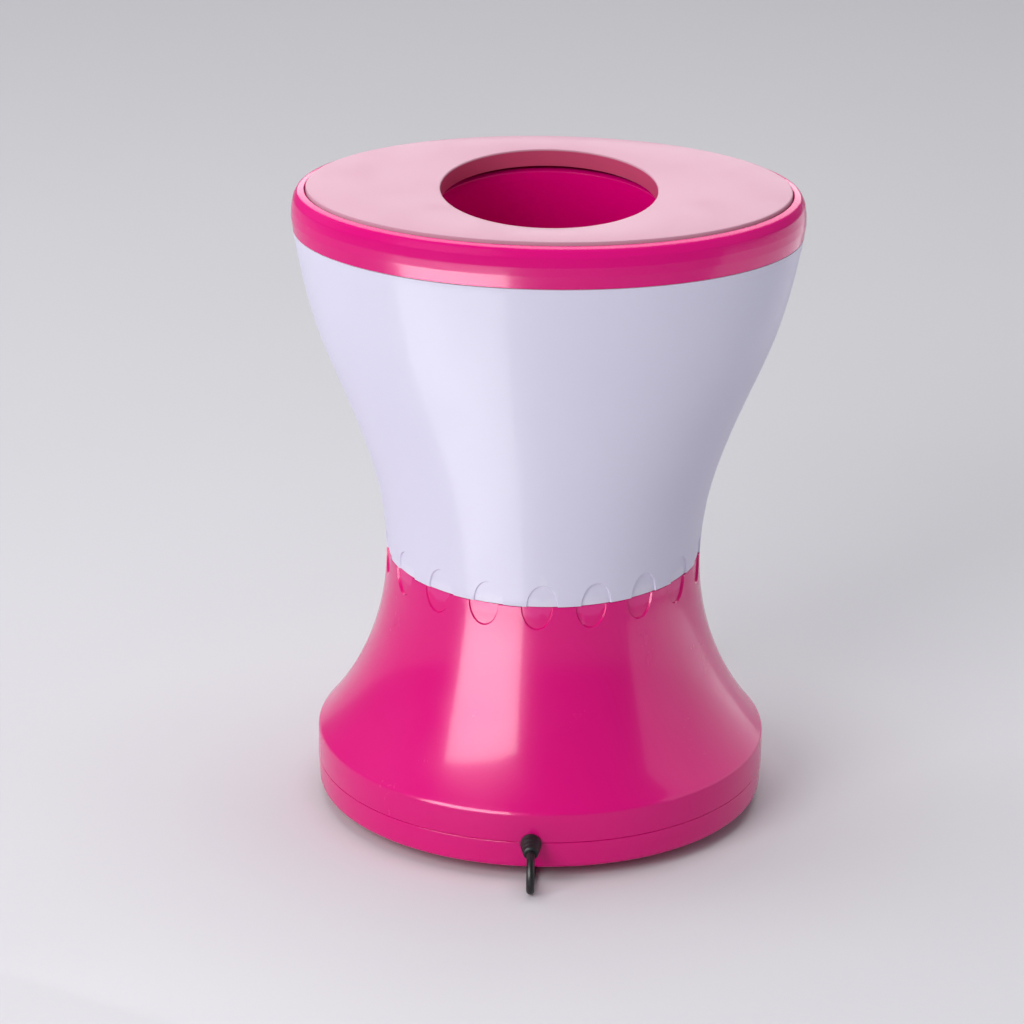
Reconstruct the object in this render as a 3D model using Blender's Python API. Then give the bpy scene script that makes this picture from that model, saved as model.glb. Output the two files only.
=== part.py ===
"""Cotton candy machine: an hourglass housing with an oval top, a lift-out floss bowl and a spun sugar head.

Metres, +Z up, standing on the plane z = 0. The mains lead leaves towards -Y, and +X is to the right.
Run with: blender --background --python part.py
"""

from math import acos, cos, pi, radians, sin, sqrt, tau

import bmesh
import bpy
from mathutils import Matrix, Vector

MM = 0.001
GAP = 0.3 * MM  # between pieces that touch
FIT = 0.5 * MM  # radial play of pieces that lift off or turn
WALL = 2.5 * MM  # every moulded shell
SHELL_SIDES = 36
PART_SIDES = 18
SCREW_SIDES = 10

# Feet
FOOT_HEIGHT = 7 * MM
FOOT_RADIUS = 9 * MM

# Base: a pan below the lower seam, and a flared skirt above it
BASE_RADIUS = 121.5 * MM
FOOT_RING = BASE_RADIUS - 41.5 * MM
PAN_HEIGHT = 15.5 * MM
BAND_HEIGHT = 32 * MM
WAIST_RADIUS = 85.2 * MM
SKIRT_HEIGHT = 137.5 * MM
COLLAR_HEIGHT = 7.2 * MM
COLLAR_INSET = 6.2 * MM

# Cup: round at the waist, oval at the top
CUP_HEIGHT = 183.5 * MM
TOP_HALF_WIDTH = 138.5 * MM
TOP_HALF_DEPTH = 86.5 * MM
# Each pair is a share of the height and the share of the flare reached there
FLARE = ((0, 0), (0.1, 0.03), (0.2, 0.09), (0.31, 0.20), (0.42, 0.34))
FLARE += ((0.53, 0.50), (0.64, 0.665), (0.75, 0.80), (0.86, 0.90), (1, 1))
RIM_HEIGHT = 24.5 * MM
RIM_LIP = 7.1 * MM
LID_SEAT = 12 * MM
BOWL_SEAT = 17 * MM
LID_DEPTH = 10 * MM
LID_HOLE_RADIUS = TOP_HALF_DEPTH - 27.5 * MM
FLANGE_THICKNESS = 2 * MM

# Finger grips round the waist seam
GRIPS = 18
GRIP_HALF_WIDTH = 8.5 * MM
GRIP_HALF_HEIGHT = 12.5 * MM
GRIP_DEPTH = 1 * MM
GRIP_SIDES = 10
GRIP_START = radians(-91.9)
LOCK_SLACK = radians(1.9)

# Bayonet: lugs in the cup hook under tabs of the deck plate
LUGS = 3
LUG_WIDTH = 18 * MM
LUG_HEIGHT = 3.5 * MM
TAB_HALF_ANGLE = radians(12)
DECK_THICKNESS = 2 * MM
DECK_SCREW_INSET = 9 * MM

# Floss bowl
BOWL_RADIUS = LID_HOLE_RADIUS + 3 * MM
BOWL_DRAFT = 3 * MM
BOWL_CLEARANCE = 7 * MM  # between the bowl's central opening and the sugar head
BOWL_FLOOR_LIFT = 1.5 * MM  # of the bowl's floor above the underside of the head

# Heater
STANDOFF_HEIGHT = 36 * MM
STANDOFF_RADIUS = 3.5 * MM
STANDOFF_RING = 40 * MM
TRAY_RADIUS = 50 * MM
TRAY_WALL = 1.2 * MM
TRAY_DEPTH = 8 * MM
CARRIER_INNER = 25 * MM
CARRIER_OUTER = 41 * MM
CARRIER_HEIGHT = 6 * MM
ELEMENT_RING = 33 * MM
ELEMENT_RADIUS = 2.6 * MM

# Spinner
SHAFT_RADIUS = 2.5 * MM
HEAD_RADIUS = 38 * MM
HEAD_FLOOR = 2.5 * MM
HEAD_LIFT = 6 * MM
BAND_WALL = 1.5 * MM
SLOT_BAND_HEIGHT = 13 * MM
FUNNEL_RADIUS = 16 * MM
NUT_RADIUS = 6.5 * MM
NUT_HEIGHT = 7 * MM

# Motor
POST_RING = 46 * MM
POST_RADIUS = 4.5 * MM
POST_HEIGHT = 56 * MM
GROMMET_HEIGHT = 4 * MM
GROMMET_RADIUS = 6.5 * MM
PLATE_THICKNESS = 1.5 * MM
PLATE_RADIUS = 55 * MM
MOTOR_RADIUS = 23 * MM
MOTOR_LENGTH = 30 * MM
MOTOR_BOSS_RADIUS = 7 * MM
END_CAP_HEIGHT = 4 * MM
FAN_RADIUS = 32 * MM
FAN_HEIGHT = 9 * MM
FAN_HUB_RADIUS = 7 * MM
FAN_BLADES = 7

# Fasteners
SCREW_RADIUS = 1.6 * MM
SCREW_HEAD_RADIUS = 3.2 * MM
SCREW_HEAD_HEIGHT = 2.2 * MM

# Electrics on the pan's floor
TERMINAL_X = 84 * MM
TERMINAL_SIZE = (14 * MM, 34 * MM, 12 * MM)
TERMINAL_PITCH = 11 * MM
TERMINAL_WELL = 2.6 * MM
BOARD_X = -82 * MM
BOARD_SIZE = (26 * MM, 44 * MM, 1.6 * MM)
BOARD_LIFT = 4 * MM
CAPACITOR_RADIUS = 5.5 * MM

# Mains side
SWITCH_WIDTH = 17 * MM
SWITCH_HEIGHT = 11.5 * MM
SWITCH_BEZEL = 1.8 * MM
SWITCH_BODY_DEPTH = 15 * MM
ROCKER_HALF_WIDTH = 5.4 * MM
ROCKER_TILT = radians(8)
RELIEF_X = -4 * MM
RELIEF_ROOT_RADIUS = 5.8 * MM
RELIEF_TIP_RADIUS = 4 * MM
RELIEF_NECK_RADIUS = 3.8 * MM
RELIEF_LENGTH = 13 * MM
RELIEF_DROOP = radians(8)
CORD_RADIUS = 2.25 * MM
CORD_FLOOR = 0.1 * MM
CORD_LEAD = 4 * MM
CORD_SPACING = 4.8 * MM
COIL_TURN_RADIUS = 29.5 * MM
COIL_INNER = 18 * MM
COIL_OUTER = 32 * MM
COIL_BOTTOM = 1.3 * MM
COIL_HEIGHT = 14 * MM
COIL_X = 9.5 * MM
COIL_Y = BASE_RADIUS + 40.5 * MM
TIE_WIDTH = 6 * MM
TIE_THICKNESS = 0.9 * MM
TIE_ANGLE = radians(-60)
PLUG_LENGTH = 42 * MM
PLUG_HALF_WIDTH = 14 * MM
PLUG_HALF_HEIGHT = 6.8 * MM
PIN_RADIUS = 2 * MM
PIN_LENGTH = 19 * MM
PIN_PITCH = 18.6 * MM

# Heights that follow from the sizes above
PAN_Z = FOOT_HEIGHT
PAN_FLOOR_Z = PAN_Z + WALL
SEAM_Z = PAN_Z + PAN_HEIGHT
CREASE_Z = PAN_Z + BAND_HEIGHT
WAIST_Z = PAN_Z + SKIRT_HEIGHT
FLARE_Z = WAIST_Z - 5 * MM
COLLAR_RADIUS = WAIST_RADIUS - COLLAR_INSET
DECK_SCREW_RING = COLLAR_RADIUS - DECK_SCREW_INSET
DECK_Z = WAIST_Z + COLLAR_HEIGHT + GAP
DECK_TOP_Z = DECK_Z + DECK_THICKNESS
CUP_BOTTOM_Z = WAIST_Z + GAP
CUP_TOP_Z = CUP_BOTTOM_Z + CUP_HEIGHT
RIM_Z = CUP_TOP_Z + GAP
RIM_TOP_Z = RIM_Z + RIM_HEIGHT
LID_SEAT_Z = RIM_TOP_Z - LID_DEPTH
BOWL_SEAT_Z = LID_SEAT_Z - 6 * MM
BOWL_LIP_Z = LID_SEAT_Z - 3 * MM
TRAY_Z = DECK_TOP_Z + GAP + STANDOFF_HEIGHT + GAP
CARRIER_Z = TRAY_Z + TRAY_WALL + GAP
ELEMENT_Z = CARRIER_Z + CARRIER_HEIGHT + GAP + ELEMENT_RADIUS
HEAD_Z = ELEMENT_Z + ELEMENT_RADIUS + HEAD_LIFT
BOWL_FLOOR_Z = HEAD_Z + BOWL_FLOOR_LIFT
PLATE_Z = PAN_FLOOR_Z + POST_HEIGHT + GAP + GROMMET_HEIGHT + GAP
MOTOR_TOP_Z = PLATE_Z - GAP
MOTOR_Z = MOTOR_TOP_Z - MOTOR_LENGTH
END_CAP_Z = MOTOR_Z - GAP - END_CAP_HEIGHT
FAN_Z = END_CAP_Z - 3 * MM - FAN_HEIGHT
SWITCH_Z = (SEAM_Z + CREASE_Z) / 2 + 0.4 * MM


def clear_scene():
    for obj in list(bpy.data.objects):
        bpy.data.objects.remove(obj)


def make_material(name, colour, roughness, metallic=0.0):
    """A Principled material with one colour."""
    material = bpy.data.materials.new(name)
    material.use_nodes = True
    shader = material.node_tree.nodes["Principled BSDF"]
    shader.inputs["Base Color"].default_value = (*colour, 1)
    shader.inputs["Roughness"].default_value = roughness
    shader.inputs["Metallic"].default_value = metallic
    return material


def add_object(name, bm, material=None, place=None, smooth=True):
    """Turns a bmesh into an object, shaded smooth except across edges over 35 degrees."""
    if place is not None:
        bmesh.ops.transform(bm, matrix=place, verts=bm.verts)
    bmesh.ops.recalc_face_normals(bm, faces=bm.faces)
    mesh = bpy.data.meshes.new(name)
    bm.to_mesh(mesh)
    bm.free()
    if smooth:
        mesh.shade_smooth()
        mesh.set_sharp_from_angle(angle=radians(35))
    obj = bpy.data.objects.new(name, mesh)
    bpy.context.collection.objects.link(obj)
    if material:
        mesh.materials.append(material)
    return obj


def bridge(bm, lower, upper):
    """Quads between two rings that have the same number of points."""
    for i in range(len(lower)):
        bm.faces.new((lower[i - 1], lower[i], upper[i], upper[i - 1]))


def loft_mesh(rings, sides, cycle, bm=None, place=None):
    """Rings of (half width, half depth, z), bridged in order: a hollow cycle, or a solid with capped ends."""
    bm = bm or bmesh.new()
    loops = []
    for half_x, half_y, z in rings:
        turns = [tau * i / sides for i in range(sides)]
        points = [Vector((half_x * cos(t), half_y * sin(t), z)) for t in turns]
        loops.append([bm.verts.new(place @ p if place else p) for p in points])
    for lower, upper in zip(loops, loops[1:]):
        bridge(bm, lower, upper)
    if cycle:
        bridge(bm, loops[-1], loops[0])
    else:
        bm.faces.new(loops[0])
        bm.faces.new(loops[-1])
    return bm


def loft(name, rings, material, sides=SHELL_SIDES, cycle=True, place=None):
    return add_object(name, loft_mesh(rings, sides, cycle), material, place)


def turned(name, outline, material, sides=PART_SIDES, cycle=True, place=None):
    """A round piece from its outline of (radius, z)."""
    return loft(name, [(r, r, z) for r, z in outline], material, sides, cycle, place)


def at(x, y, z=0.0):
    return Matrix.Translation((x, y, z))


def round_ring(radius, count, start=0.0):
    """Places at equal angles on a circle about the Z axis."""
    angles = [start + tau * i / count for i in range(count)]
    return [(radius * cos(a), radius * sin(a), a) for a in angles]


def box_mesh(size, centre, bm=None, place=None):
    bm = bm or bmesh.new()
    matrix = Matrix.Translation(centre) @ Matrix.Diagonal((*size, 1))
    bmesh.ops.create_cube(bm, size=1, matrix=place @ matrix if place else matrix)
    return bm


def prism_mesh(outline, low, high, bm=None, place=None):
    """An outline of (x, y) extruded from z = low to z = high."""
    bm = bm or bmesh.new()
    rings = []
    for z in (low, high):
        points = [Vector((x, y, z)) for x, y in outline]
        rings.append([bm.verts.new(place @ p if place else p) for p in points])
    bridge(bm, *rings)
    for ring in rings:
        bm.faces.new(ring)
    return bm


def boolean(target, tool, operation):
    """Cuts or joins a hidden tool object with the target, by a modifier that stays live."""
    modifier = target.modifiers.new(f"{operation} {tool.name}", "BOOLEAN")
    modifier.operation = operation
    modifier.solver = "EXACT"
    modifier.object = tool
    tool.hide_render = True
    tool.display_type = "WIRE"


def cut(target, name, bm):
    boolean(target, add_object(name, bm, smooth=False), "DIFFERENCE")


def join(target, name, bm):
    boolean(target, add_object(name, bm, smooth=False), "UNION")


def hang_on(name, point, pieces):
    """Parents pieces to an empty on their joint's axis, without moving them."""
    empty = bpy.data.objects.new(name, None)
    empty.location = point
    bpy.context.collection.objects.link(empty)
    for piece in pieces:
        piece.parent = empty
        piece.matrix_parent_inverse = Matrix.Translation(-Vector(point))


def screw(name, material, x, y, head_z, length, up=1):
    """A pan-head screw whose head rests at head_z. Its shank goes down, or up where up is -1."""
    outline = [
        (SCREW_HEAD_RADIUS * 0.7, up * SCREW_HEAD_HEIGHT),
        (SCREW_HEAD_RADIUS, up * SCREW_HEAD_HEIGHT * 0.5),
        (SCREW_HEAD_RADIUS, 0),
        (SCREW_RADIUS, 0),
        (SCREW_RADIUS, -up * length),
    ]
    return turned(name, outline, material, SCREW_SIDES, cycle=False, place=at(x, y, head_z))


def hole_mesh(radius, low, high, places, bm=None, sides=SCREW_SIDES):
    """Round holes along Z for a cutter, one at each place."""
    bm = bm or bmesh.new()
    for x, y, _ in places:
        loft_mesh([(radius, radius, low), (radius, radius, high)], sides, False, bm, at(x, y))
    return bm


def skirt_radius(z):
    """Outer radius of the skirt: a straight band, then one concave arc that ends upright at the waist."""
    drop = BASE_RADIUS - WAIST_RADIUS
    rise = FLARE_Z - CREASE_Z
    arc = (rise**2 + drop**2) / (2 * drop)
    if z <= CREASE_Z:
        return BASE_RADIUS - 0.4 * MM * (CREASE_Z - z) / BAND_HEIGHT
    height = max(FLARE_Z - z, 0)
    return WAIST_RADIUS + arc - sqrt(arc**2 - height**2)


def skirt_stations(count=7):
    """Heights up the flare, evenly spaced by the angle along its arc."""
    drop = BASE_RADIUS - WAIST_RADIUS
    rise = FLARE_Z - CREASE_Z
    arc = (rise**2 + drop**2) / (2 * drop)
    sweep = acos((arc - drop) / arc)
    return [FLARE_Z - arc * sin(sweep * (1 - i / count)) for i in range(count + 1)]


def cup_half_sizes(share):
    """Half width and half depth of the cup, at a share of its height."""
    for (low, low_flare), (high, high_flare) in zip(FLARE, FLARE[1:]):
        if share <= high:
            flare = low_flare + (high_flare - low_flare) * (share - low) / (high - low)
            break
    edge = 1 * MM
    half_width = WAIST_RADIUS + (TOP_HALF_WIDTH - edge - WAIST_RADIUS) * flare
    half_depth = WAIST_RADIUS + (TOP_HALF_DEPTH - edge - WAIST_RADIUS) * share
    return half_width, half_depth


def grip_cutters(turn):
    """Short oval cylinders that point out from the axis, one for each finger grip."""
    bm = bmesh.new()
    floor = WAIST_RADIUS - GRIP_DEPTH
    rings = [(GRIP_HALF_HEIGHT, GRIP_HALF_WIDTH, z) for z in (floor, floor + 10 * MM)]
    for i in range(GRIPS):
        aim = Matrix.Rotation(turn + tau * i / GRIPS, 4, "Z") @ Matrix.Rotation(pi / 2, 4, "Y")
        loft_mesh(rings, GRIP_SIDES, False, bm, at(0, 0, WAIST_Z) @ aim)
    return bm


def build_feet(rubber, steel):
    """Four rubber feet. The screw in each also holds the pan to the skirt."""
    counterbore = SCREW_HEAD_RADIUS + FIT
    recess = 3.5 * MM
    for i, (x, y, _) in enumerate(round_ring(FOOT_RING, 4, pi / 4), 1):
        outline = [
            (FOOT_RADIUS - 1 * MM, 0),
            (FOOT_RADIUS, 1 * MM),
            (FOOT_RADIUS, FOOT_HEIGHT - GAP),
            (SCREW_RADIUS + GAP, FOOT_HEIGHT - GAP),
            (SCREW_RADIUS + GAP, recess),
            (counterbore, recess),
            (counterbore, 0),
        ]
        turned(f"foot_{i}", outline, rubber, 16, place=at(x, y))
        head_z = recess - GAP
        screw(f"housing_screw_{i}", steel, x, y, head_z, FOOT_HEIGHT + 14 * MM, up=-1)


def build_pan(pink):
    """The flat pan that closes the base, with air slots under the fan and posts for the motor."""
    seam_radius = skirt_radius(SEAM_Z)
    wall_foot = 2 * MM
    outline = [
        (0.05 * MM, PAN_Z),
        (seam_radius - 3.5 * MM, PAN_Z),
        (seam_radius - 1.4 * MM, PAN_Z + 1 * MM),
        (seam_radius - 0.6 * MM, PAN_Z + 3 * MM),
        (seam_radius, SEAM_Z - GAP),
        (seam_radius - WALL, SEAM_Z - GAP),
        (seam_radius - WALL - 0.6 * MM, PAN_FLOOR_Z + wall_foot),
        (seam_radius - WALL - 2.5 * MM, PAN_FLOOR_Z),
        (0.05 * MM, PAN_FLOOR_Z),
    ]
    pan = turned("base_pan", outline, pink, SHELL_SIDES, cycle=False)
    posts = bmesh.new()
    post_top = PAN_FLOOR_Z + POST_HEIGHT
    bore = SCREW_RADIUS + GAP
    for x, y, _ in round_ring(POST_RING, 3, pi / 2):
        post = [
            (POST_RADIUS + 1 * MM, POST_RADIUS + 1 * MM, PAN_FLOOR_Z - WALL / 2),
            (POST_RADIUS, POST_RADIUS, post_top),
            (bore, bore, post_top),
            (bore, bore, post_top - 12 * MM),
        ]
        loft_mesh(post, 12, False, posts, at(x, y))
    join(pan, "pan_posts", posts)
    openings = hole_mesh(bore, PAN_Z - 1 * MM, PAN_FLOOR_Z + 1 * MM, round_ring(FOOT_RING, 4, pi / 4))
    slot = (16 * MM, 4 * MM, WALL + 2 * MM)
    for angle in [tau * i / 12 for i in range(12)]:
        turn = Matrix.Rotation(angle, 4, "Z")
        box_mesh(slot, (24 * MM, 0, PAN_Z + WALL / 2), openings, turn)
    cut(pan, "pan_openings", openings)
    cut(pan, "relief_notch_below", relief_hole())


def build_skirt(pink):
    """The flared lower housing, its inner collar and four screw bosses on ribs."""
    stations = skirt_stations()
    bottom = SEAM_Z
    outer = [(skirt_radius(bottom), bottom)]
    outer += [(skirt_radius(z), z) for z in stations]
    outer += [(WAIST_RADIUS, WAIST_Z)]
    collar = [
        (COLLAR_RADIUS, WAIST_Z),
        (COLLAR_RADIUS, WAIST_Z + COLLAR_HEIGHT),
        (COLLAR_RADIUS - WALL, WAIST_Z + COLLAR_HEIGHT),
        (COLLAR_RADIUS - WALL, WAIST_Z - WALL),
        (WAIST_RADIUS - WALL, WAIST_Z - WALL - 3 * MM),
    ]
    inner = [(skirt_radius(z) - WALL, z - 0.6 * WALL) for z in reversed(stations[:-1])]
    inner += [(skirt_radius(bottom) - WALL, bottom)]
    skirt = turned("skirt_housing", outer + collar + inner, pink, SHELL_SIDES)
    bosses = bmesh.new()
    boss_low = PAN_FLOOR_Z + GAP
    boss_high = CREASE_Z + 14 * MM
    bore = SCREW_RADIUS + GAP
    for x, y, _ in round_ring(FOOT_RING, 4, pi / 4):
        boss = [
            (5 * MM, 5 * MM, boss_high),
            (5 * MM, 5 * MM, boss_low),
            (bore, bore, boss_low),
            (bore, bore, boss_low + 16 * MM),
        ]
        loft_mesh(boss, 12, False, bosses, at(x, y))
    join(skirt, "skirt_bosses", bosses)
    ribs = bmesh.new()
    rib_low = SEAM_Z + 2 * MM
    rib_heights = [rib_low, CREASE_Z, (CREASE_Z + boss_high) / 2, boss_high - 1 * MM]
    for _, _, angle in round_ring(FOOT_RING, 4, pi / 4):
        edge = [(skirt_radius(z) - WALL / 2, z) for z in rib_heights]
        outline = [(FOOT_RING + 3 * MM, rib_low), *edge, (FOOT_RING + 3 * MM, boss_high - 1 * MM)]
        stand = Matrix.Rotation(angle, 4, "Z") @ Matrix.Rotation(pi / 2, 4, "X")
        prism_mesh(outline, -1.25 * MM, 1.25 * MM, ribs, stand)
    join(skirt, "skirt_ribs", ribs)
    cut(skirt, "skirt_grips", grip_cutters(GRIP_START))
    cut(skirt, "relief_notch_above", relief_hole())
    window = (SWITCH_WIDTH - 2.4 * MM, 12 * MM, SWITCH_HEIGHT - 1.8 * MM)
    window_centre = (0, skirt_radius(SWITCH_Z) - 1 * MM, SWITCH_Z)
    cut(skirt, "switch_window", box_mesh(window, window_centre))
    return skirt


def build_cup(white):
    """The white upper housing, with the locking lugs inside its lower edge."""
    shares = [share for share, _ in FLARE]
    outer = [(*cup_half_sizes(s), CUP_BOTTOM_Z + CUP_HEIGHT * s) for s in shares]
    inner = [(a - WALL, b - WALL, z) for a, b, z in reversed(outer)]
    cup = loft("upper_cup", outer + inner, white)
    lugs = bmesh.new()
    lug_inner = COLLAR_RADIUS + 2 * GAP + 0.2 * MM
    lug_outer = WAIST_RADIUS - WALL / 2
    lug_top = DECK_Z - GAP
    size = (lug_outer - lug_inner, LUG_WIDTH, LUG_HEIGHT)
    for _, _, angle in round_ring(1, LUGS, pi / 2):
        centre = ((lug_outer + lug_inner) / 2, 0, lug_top - LUG_HEIGHT / 2)
        box_mesh(size, centre, lugs, Matrix.Rotation(angle, 4, "Z"))
    join(cup, "cup_lugs", lugs)
    cut(cup, "cup_grips", grip_cutters(GRIP_START + LOCK_SLACK))
    return cup


def top_ring(inset, z):
    """A ring inside the oval top, an inset in from its widest outline."""
    return (TOP_HALF_WIDTH - inset, TOP_HALF_DEPTH - inset, z)


def build_rim(pink):
    """The oval rim on the cup, with one seat for the lid and a lower one for the bowl's flange."""
    rings = [
        top_ring(1 * MM, RIM_Z),
        top_ring(0, RIM_Z + 6.5 * MM),
        top_ring(0, RIM_TOP_Z - 11 * MM),
        top_ring(1 * MM, RIM_TOP_Z - 5.5 * MM),
        top_ring(3.2 * MM, RIM_TOP_Z - 2 * MM),
        top_ring(6 * MM, RIM_TOP_Z - 0.6 * MM),
        top_ring(RIM_LIP, RIM_TOP_Z - 1 * MM),
        top_ring(RIM_LIP, LID_SEAT_Z),
        top_ring(LID_SEAT, LID_SEAT_Z),
        top_ring(LID_SEAT, BOWL_SEAT_Z),
        top_ring(BOWL_SEAT, BOWL_SEAT_Z),
        top_ring(BOWL_SEAT, BOWL_SEAT_Z - WALL),
        top_ring(4 * MM, BOWL_SEAT_Z - WALL),
        top_ring(4 * MM, RIM_Z),
    ]
    return loft("top_rim", rings, pink)


def build_lid(pale):
    """The oval lid with its round opening and the collar below it."""
    edge = RIM_LIP + FIT
    hole = LID_HOLE_RADIUS
    low = LID_SEAT_Z + GAP
    top = RIM_TOP_Z
    rings = [
        top_ring(edge, low),
        top_ring(edge, top - 1 * MM),
        top_ring(edge + 1 * MM, top),
        (hole + 1 * MM, hole + 1 * MM, top),
        (hole, hole, top - 1 * MM),
        (hole, hole, low),
        (hole + WALL, hole + WALL, low),
        (hole + WALL, hole + WALL, top - WALL),
        top_ring(edge + WALL, top - WALL),
        top_ring(edge + WALL, low),
    ]
    return loft("lid", rings, pale)


def build_bowl(pink):
    """The lift-out floss bowl: a deep round tub under an oval flange."""
    radius = BOWL_RADIUS
    foot = radius - BOWL_DRAFT
    flange_z = BOWL_SEAT_Z + GAP
    flange_top = flange_z + FLANGE_THICKNESS
    flange_edge = LID_SEAT + FIT
    opening = HEAD_RADIUS + BOWL_CLEARANCE
    rings = [
        top_ring(flange_edge, flange_z),
        top_ring(flange_edge, flange_top),
        (radius + 4 * MM, radius + 4 * MM, flange_top),
        (radius + 3 * MM, radius + 3 * MM, BOWL_LIP_Z - 0.4 * MM),
        (radius + 1.5 * MM, radius + 1.5 * MM, BOWL_LIP_Z),
        (radius + 0.3 * MM, radius + 0.3 * MM, BOWL_LIP_Z - 0.8 * MM),
        (radius, radius, BOWL_LIP_Z - 2 * MM),
        (foot, foot, BOWL_FLOOR_Z + 6 * MM),
        (foot - 5 * MM, foot - 5 * MM, BOWL_FLOOR_Z + WALL),
        (opening + WALL, opening + WALL, BOWL_FLOOR_Z + WALL),
        (opening + WALL, opening + WALL, BOWL_FLOOR_Z + 6 * MM),
        (opening, opening, BOWL_FLOOR_Z + 6 * MM),
        (opening, opening, BOWL_FLOOR_Z),
        (foot - 3 * MM, foot - 3 * MM, BOWL_FLOOR_Z),
        (foot + WALL, foot + WALL, BOWL_FLOOR_Z + 6 * MM),
        (radius + WALL, radius + WALL, flange_z),
    ]
    return loft("floss_bowl", rings, pink)


def build_deck(steel, bronze):
    """The deck plate on the collar: its tabs hold the cup, and its bush guides the shaft."""
    tab = WAIST_RADIUS - WALL - 2 * GAP - FIT / 2
    plain = COLLAR_RADIUS - GAP
    outline = []
    for _, _, middle in round_ring(1, LUGS, pi / 2):
        tab_angles = [middle + TAB_HALF_ANGLE * share for share in (-1, -0.5, 0, 0.5, 1)]
        outline += [(tab * cos(a), tab * sin(a)) for a in tab_angles]
        start = middle + TAB_HALF_ANGLE + radians(0.5)
        span = tau / LUGS - 2 * TAB_HALF_ANGLE - radians(1)
        outline += [(plain * cos(start + span * i / 9), plain * sin(start + span * i / 9)) for i in range(10)]
    plate = add_object("deck_plate", prism_mesh(outline, DECK_Z, DECK_TOP_Z), steel)
    bush_radius = 6 * MM
    screw_places = round_ring(DECK_SCREW_RING, 3, pi / 6)
    holes = hole_mesh(bush_radius + GAP, DECK_Z - 1 * MM, DECK_TOP_Z + 1 * MM, [(0, 0, 0)], sides=PART_SIDES)
    hole_mesh(SCREW_RADIUS + GAP, DECK_Z - 1 * MM, DECK_TOP_Z + 1 * MM, screw_places, holes)
    for _, _, angle in round_ring(1, 6, pi / 6):
        vent = Matrix.Rotation(angle, 4, "Z")
        box_mesh((22 * MM, 5 * MM, 8 * MM), (22 * MM, 0, DECK_Z), holes, vent)
    cut(plate, "deck_holes", holes)
    bush = [
        (bush_radius, DECK_Z - 6 * MM),
        (bush_radius, DECK_TOP_Z + GAP),
        (bush_radius + 2 * MM, DECK_TOP_Z + GAP),
        (bush_radius + 2 * MM, DECK_TOP_Z + 2 * MM),
        (SHAFT_RADIUS + GAP, DECK_TOP_Z + 2 * MM),
        (SHAFT_RADIUS + GAP, DECK_Z - 6 * MM),
    ]
    turned("shaft_bush", bush, bronze)
    return screw_places


def build_deck_fixings(skirt, screw_places, steel):
    """Three pads inside the collar take the deck plate's screws."""
    pads = bmesh.new()
    pad_top = WAIST_Z + COLLAR_HEIGHT
    for _, _, angle in screw_places:
        reach = COLLAR_RADIUS - WALL / 2
        start = DECK_SCREW_RING - 5 * MM
        turn = Matrix.Rotation(angle, 4, "Z")
        box_mesh((reach - start, 9 * MM, 9 * MM), ((reach + start) / 2, 0, pad_top - 4.5 * MM), pads, turn)
    join(skirt, "deck_pads", pads)
    holes = hole_mesh(SCREW_RADIUS + GAP, pad_top - 20 * MM, pad_top + 1 * MM, screw_places)
    cut(skirt, "deck_pad_holes", holes)
    for i, (x, y, _) in enumerate(screw_places, 1):
        screw(f"deck_screw_{i}", steel, x, y, DECK_TOP_Z + GAP, 9 * MM)


def build_heater(steel, ceramic, wire, bimetal):
    """The fixed heater under the spinner: standoffs, tray, ceramic carrier, element and cut-out."""
    for i, (x, y, _) in enumerate(round_ring(STANDOFF_RING, 3), 1):
        low = DECK_TOP_Z + GAP
        outline = [(STANDOFF_RADIUS, low), (STANDOFF_RADIUS, low + STANDOFF_HEIGHT)]
        turned(f"heater_standoff_{i}", outline, steel, 12, cycle=False, place=at(x, y))
    hub = SHAFT_RADIUS + 3 * MM
    tray = [
        (hub, TRAY_Z),
        (TRAY_RADIUS - 4 * MM, TRAY_Z),
        (TRAY_RADIUS, TRAY_Z + TRAY_DEPTH),
        (TRAY_RADIUS - TRAY_WALL, TRAY_Z + TRAY_DEPTH),
        (TRAY_RADIUS - 4 * MM - TRAY_WALL, TRAY_Z + TRAY_WALL),
        (hub, TRAY_Z + TRAY_WALL),
    ]
    turned("heater_tray", tray, steel, 24)
    carrier_top = CARRIER_Z + CARRIER_HEIGHT
    groove = ELEMENT_RADIUS + 0.6 * MM
    carrier = [
        (CARRIER_INNER, CARRIER_Z),
        (CARRIER_OUTER, CARRIER_Z),
        (CARRIER_OUTER, carrier_top + 3 * MM),
        (ELEMENT_RING + groove, carrier_top + 3 * MM),
        (ELEMENT_RING + groove, carrier_top),
        (ELEMENT_RING - groove, carrier_top),
        (ELEMENT_RING - groove, carrier_top + 3 * MM),
        (CARRIER_INNER, carrier_top + 3 * MM),
    ]
    turned("heater_carrier", carrier, ceramic, 24)
    turns = [tau * i / 6 for i in range(6)]
    ring = [(ELEMENT_RING + ELEMENT_RADIUS * cos(t), ELEMENT_Z + ELEMENT_RADIUS * sin(t)) for t in turns]
    turned("heating_element", ring, wire, 24)
    can = [
        (8.5 * MM, DECK_TOP_Z + GAP),
        (8.5 * MM, DECK_TOP_Z + 5 * MM),
        (6 * MM, DECK_TOP_Z + 6 * MM),
        (6 * MM, DECK_TOP_Z + 12 * MM),
    ]
    turned("thermal_cutout", can, bimetal, 16, cycle=False, place=at(-54 * MM, 0))


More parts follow.
